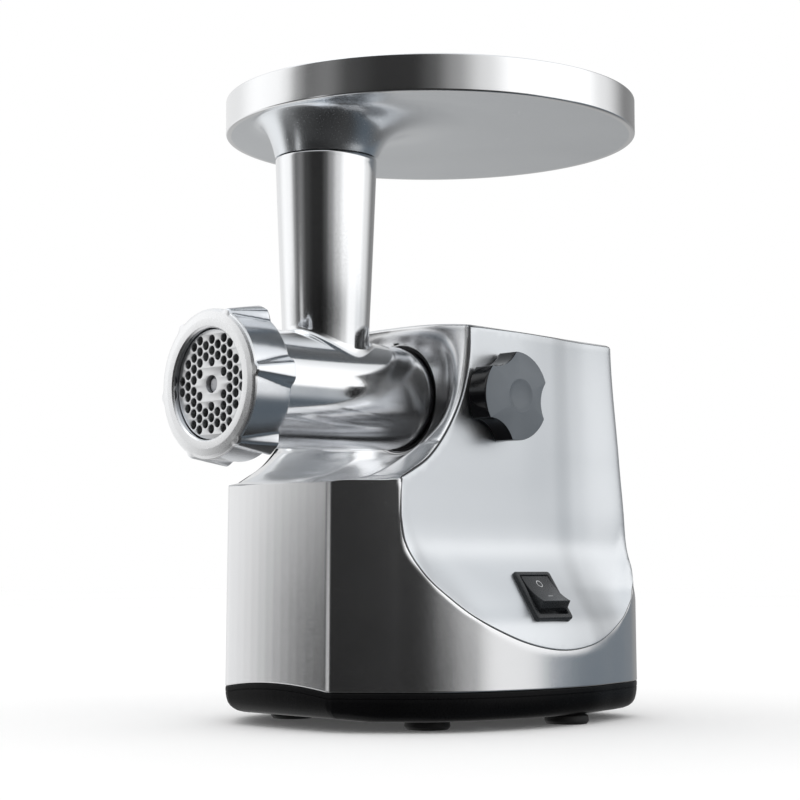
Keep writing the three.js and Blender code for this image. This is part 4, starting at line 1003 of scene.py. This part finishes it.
# ---------------------------------------------------------------- lock knob
def knob_piece():
    n = 420
    ky, kz = 134.5, 166.0
    a = np.arange(n) * TAU / n

    def outline(scallop=1.0, grow=0.0):
        r = np.full(n, 22.5)
        for c in (115.6, -4.2, -123.8):
            c = math.radians(c)
            d = np.arctan2(np.sin(a - c), np.cos(a - c))
            # circular bite of radius 17 centred outside the rim
            R0, rb = 34.6, 17.0
            disc = R0 * np.cos(d)
            inside = rb ** 2 - (R0 * np.sin(d)) ** 2
            bite = np.where(inside > 0, disc - np.sqrt(np.maximum(inside, 0)), 99)
            bite = np.where(np.abs(d) < 1.2, bite, 99)
            kk = 0.5
            h = np.clip(0.5 + 0.5 * (bite - r) / kk, 0, 1)
            r = bite * (1 - h) + r * h - kk * h * (1 - h)
        return 22.5 - (22.5 - r) * scallop + grow
    rows = []
    kinds = []

    def add(x, r, k):
        rows.append(np.stack([np.full(n, x), ky + r * np.cos(a), kz + r * np.sin(a)], 1))
        kinds.append(k)
    o = outline()
    add(66.9, np.full(n, 4.0), 0)
    add(66.9, o * 0.93, 0)
    add(67.2, o * 0.975, 0)
    add(67.9, o * 1.0, 0)
    for x in np.linspace(69, 79.5, 8):
        add(x, o, 0)
    add(79.8, o - 0.08, 0)
    add(80.0, o - 0.3, 1)
    add(80.1, o - 0.7, 1)
    for s in np.linspace(0.94, 0.46, 18):
        r = np.minimum(o, 22.5) * s + 0.0
        t = (s - 0.4) / 0.6
        r = r * (1 - (1 - t) * 0.0)
        mix = np.clip((0.9 - s) / 0.4, 0, 1)
        r = r * (1 - mix) + 22.5 * s * 0.86 * mix
        add(80.1 + 2.5 * (1 - (s / 0.97) ** 2) / (1 - 0.46 ** 2) * 0.96, r, 1)
    xe = 80.1 + 2.45
    for rr, dx in ((8.6, 0.0), (8.2, -0.1), (7.8, -0.45), (7.0, -0.95), (6.0, -1.35), (4.8, -1.65), (3.4, -1.9), (2.0, -2.05), (0.8, -2.1)):
        add(xe + dx, np.full(n, rr), 1)
    G = np.array(rows)
    F = grid_faces(len(rows), n)
    fm = []
    for i in range(len(rows) - 1):
        fm += [kinds[i + 1]] * n
    F.append([i for i in range(n)][::-1])
    F.append([(len(rows) - 1) * n + i for i in range(n)])
    fm += [0, 1]
    ob = obj_from("knob_grip", G.reshape(-1, 3), F, [m_knob_side, m_knob_face], "lock_knob", ["lock_knob"], smooth=30, face_mat=fm)
    return facing_out(ob)


knob_piece()

# ---------------------------------------------------------------- rocker switch
SW = dict(y=150.0, z=64.6, x=80.6, tilt=math.radians(36))


def sw(u, v, n):
    c, s = math.cos(SW["tilt"]), math.sin(SW["tilt"])
    u, v, n = np.broadcast_arrays(np.asarray(u, float), np.asarray(v, float), np.asarray(n, float))
    return np.stack([SW["x"] + n * c - v * s, SW["y"] + u, SW["z"] + n * s + v * c], -1)


def round_rect(hu, hv, r, n=120):
    a = np.linspace(0, math.pi / 2, 9)
    q = np.stack([r * np.cos(a), r * np.sin(a)], 1)
    pts = []
    for su, sv, fl in ((1, 1, 0), (-1, 1, 1), (-1, -1, 0), (1, -1, 1)):
        c = np.array([su * (hu - r), sv * (hv - r)])
        k = q * [su, sv]
        pts.append(c + (k[::-1] if fl else k))
    return resample(np.vstack(pts), n, True)


def switch_piece():
    rows = []
    for hu, hv, r, n in ((13, 14.5, 1.3, -6), (13, 14.5, 1.3, 1.9), (12.9, 14.4, 1.3, 2.4), (12.5, 14.0, 1.2, 2.85), (12.0, 13.5, 1.0, 3.0),
                         (10.7, 12.2, .8, 3.0), (10.5, 12.0, .7, 2.8), (10.35, 11.85, .6, 2.3), (10.3, 11.8, .6, -7)):
        q = round_rect(hu, hv, r)
        rows.append(sw(q[:, 0], q[:, 1], n))
    G = np.array(rows)
    F = grid_faces(len(rows), 120)
    F.append(list(range(120)))
    F.append([(len(rows) - 1) * 120 + i for i in range(120)])
    facing_out(obj_from("switch_bezel", G.reshape(-1, 3), F, [m_switch], "base", ["switch_body"], smooth=35))
    # rocker: concave face, standing out at its lower end
    tip = math.radians(-16)
    c, s = math.cos(tip), math.sin(tip)
    face = lambda v: 4.6 + 1.4 * (v / 9.9) ** 2
    prof = [(-9.6, -4), (-10.6, 2, 1.0), (-9.9, 6.0, .45)] + [(v, face(v)) for v in np.linspace(-9.4, 9.4, 20)] + [(9.9, 6.0, .45), (10.6, 2, 1.0), (9.6, -4)]
    P = densify(fillet(prof, 5), 0.8)
    pv, pn = P[:, 0] * c - P[:, 1] * s, P[:, 0] * s + P[:, 1] * c
    rows = []
    for u, shrink in ((-9.8, 0.4), (-9.7, 0.13), (-9.4, 0.0), (9.4, 0.0), (9.7, 0.13), (9.8, 0.4)):
        rows.append(sw(u, pv * (1 - shrink * 0.03), pn - shrink * (pn > 1)))
    G = np.array(rows)
    F = grid_faces(len(rows), len(P))
    F.append(list(range(len(P))))
    F.append([(len(rows) - 1) * len(P) + i for i in range(len(P))])
    facing_out(obj_from("rocker_cap", G.reshape(-1, 3), F, [m_switch], "rocker", ["rocker_key"], smooth=35))

    # printed marks, a ring and a bar, lying on the rocker's face
    def on_face(u, v):
        nn = face(v) + 0.05
        return sw(u, v * c - nn * s, v * s + nn * c)
    a = np.arange(48) * TAU / 48
    G = np.array([on_face(r * np.cos(a) * 0.82, 4.9 + r * np.sin(a)) for r in (1.8, 2.2)])
    obj_from("mark_ring", G.reshape(-1, 3), grid_faces(2, 48), [m_mark], "rocker", (), smooth=None)
    G = np.array([on_face(np.array([-1.7, 1.7]), np.full(2, v)) for v in (-5.0, -4.6)])
    obj_from("mark_bar", G.reshape(-1, 3), [(0, 1, 3, 2)], [m_mark], "rocker", (), smooth=None)


switch_piece()

# ---------------------------------------------------------------- carried-over CAD pieces
slot_mat = {"cutting_steel": m_plate, "auger_metal": m_cast, "gearbox_metal": m_cast, "gear_nylon": m_nylon, "steel": m_steel,
            "core_iron": m_iron, "copper": m_copper, "dark_plastic": m_dark, "shell": m_body, "panel": m_panel, "base_black": m_base,
            "foot_rubber": m_rubber, "head_metal": m_polish, "tray_metal": m_tray, "knob": m_knob_side, "switch": m_switch}
where = {s["node"]: s["material_slot"] for s in frame["record"]["subparts"]}
for name, ob in NODES.items():
    mat = slot_mat.get(where.get(name), m_steel)
    if ob.type == "MESH":
        if not ob.data.materials:
            ob.data.materials.append(mat)
        for s in ob.material_slots:
            s.material = mat

# ---------------------------------------------------------------- stage and light
me = bpy.data.meshes.new("floor")
R = 6.0
me.from_pydata([(-R, -R, 0), (R, -R, 0), (R, R, 0), (-R, R, 0)], [], [(0, 1, 2, 3)])
floor = bpy.data.objects.new("floor", me)
COL.objects.link(floor)
FM = Mat("floor_pale")
FM.link(FM.ramp(FM.noise(2.0, 2), (0.93, 0.93, 0.93), (0.95, 0.95, 0.95)), FM.b.inputs["Base Color"])
FM.b.inputs["Roughness"].default_value = 0.7
FM.b.inputs["Specular IOR Level"].default_value = 0.0
FM.b.inputs["Emission Color"].default_value = (1, 1, 1, 1)
FM.b.inputs["Emission Strength"].default_value = 0.06
# polished pieces look through the floor at the studio's own lower half
fl = FM.node("ShaderNodeLightPath")
ft = FM.node("ShaderNodeBsdfTransparent")
fx = FM.node("ShaderNodeMixShader")
FM.link(fl.outputs["Is Glossy Ray"], fx.inputs[0])
FM.link(FM.b.outputs[0], fx.inputs[1])
FM.link(ft.outputs[0], fx.inputs[2])
FM.link(fx.outputs[0], FM.t.nodes["Material Output"].inputs["Surface"])
me.materials.append(FM.m)

# Studio: bright and dark flats round the object, as a function of compass direction,
# one set near the horizon, one above it, and a pale ceiling.
world = bpy.data.worlds.new("studio")
bpy.context.scene.world = world
world.use_nodes = True
wt = world.node_tree
bg = wt.nodes["Background"]


def wn(kind, **kw):
    n = wt.nodes.new(kind)
    for k, v in kw.items():
        setattr(n, k, v)
    return n


sep = wn("ShaderNodeSeparateXYZ")
wt.links.new(wn("ShaderNodeTexCoord").outputs["Generated"], sep.inputs[0])
at = wn("ShaderNodeMath", operation="ARCTAN2")
wt.links.new(sep.outputs["Y"], at.inputs[0])
wt.links.new(sep.outputs["X"], at.inputs[1])
com = wn("ShaderNodeMapRange")
com.inputs["From Min"].default_value = -math.pi
com.inputs["From Max"].default_value = math.pi
wt.links.new(at.outputs[0], com.inputs["Value"])


def compass(stops):
    """stops: (degrees, grey or colour) from -180 to 180."""
    n = wn("ShaderNodeValToRGB")
    n.color_ramp.interpolation = "EASE"
    e = n.color_ramp.elements
    for i, (deg, c) in enumerate(stops):
        pos = (deg + 180) / 360
        el = e[i] if i < 2 else e.new(pos)
        el.position = pos
        el.color = (*((c,) * 3 if isinstance(c, (int, float)) else c), 1)
    wt.links.new(com.outputs["Result"], n.inputs["Fac"])
    return n.outputs["Color"]


LOW = compass([(-180, 0.95), (-152, 1.0), (-146, 0.75), (-139, 0.28), (-132, 0.05), (-114, 0.04), (-106, 1.0), (-98, 0.04), (-75, 0.006), (-55, 0.002), (-26, 0.003),
               (-6, 0.03), (8, 0.25), (22, 0.95), (36, 0.9), (48, (0.24, 0.27, 0.30)), (60, (0.12, 0.15, 0.18)), (82, (0.16, 0.19, 0.22)), (104, 0.3), (125, 0.45), (150, 0.6), (180, 0.95)])
HIGH = compass([(-180, 0.85), (-155, 1.1), (-136, 1.05), (-130, 0.9), (-121, 0.32), (-114, 0.14), (-102, 0.18), (-88, 0.05), (-70, 0.02), (-52, 0.02), (-42, 0.08), (-30, 0.3),
                (-14, 0.75), (4, 1.2), (50, 1.2), (66, 0.85), (95, 0.22), (118, 0.28), (138, 0.85), (180, 0.85)])
DEEP = compass([(-180, 0.85), (-150, 0.85), (-130, 0.25), (-105, 0.06), (-60, 0.03), (0, 0.05), (45, (0.10, 0.12, 0.14)), (80, 0.14), (110, 0.26), (150, 0.42), (180, 0.85)])


def blend(fac, a, b):
    m = wn("ShaderNodeMix", data_type="RGBA")
    wt.links.new(fac, m.inputs[0])
    for k, v in ((6, a), (7, b)):
        if isinstance(v, tuple):
            m.inputs[k].default_value = (*v, 1)
        else:
            wt.links.new(v, m.inputs[k])
    return m.outputs[2]


def step(lo, hi):
    n = wn("ShaderNodeMapRange", interpolation_type="SMOOTHSTEP")
    n.inputs["From Min"].default_value = math.sin(math.radians(lo))
    n.inputs["From Max"].default_value = math.sin(math.radians(hi))
    wt.links.new(sep.outputs["Z"], n.inputs["Value"])
    return n.outputs["Result"]


studio = blend(step(-20, -8), DEEP, LOW)
studio = blend(step(1.0, 5.4), studio, HIGH)
studio = blend(step(26, 48), studio, (0.80, 0.82, 0.84))
lp = wn("ShaderNodeLightPath")
wt.links.new(blend(lp.outputs["Is Glossy Ray"], (1.0, 1.0, 1.0), studio), bg.inputs["Color"])
bg.inputs["Strength"].default_value = 1.0


def lamp(name, loc, aim, size, power, color=(1, 1, 1)):
    d = bpy.data.lights.new(name, "AREA")
    d.shape = "RECTANGLE"
    d.size, d.size_y = size
    d.energy = power
    d.color = color
    o = bpy.data.objects.new(name, d)
    o.location = loc
    o.rotation_euler = (Vector(aim) - Vector(loc)).to_track_quat("-Z", "Y").to_euler()
    COL.objects.link(o)
    return o


lamp("key", (-0.5, -0.5, 1.9), (0, 0, 0.1), (1.2, 1.2), 3)

sc = bpy.context.scene
sc.view_settings.view_transform = "Standard"
sc.view_settings.look = "None"
sc.view_settings.exposure = 0.0
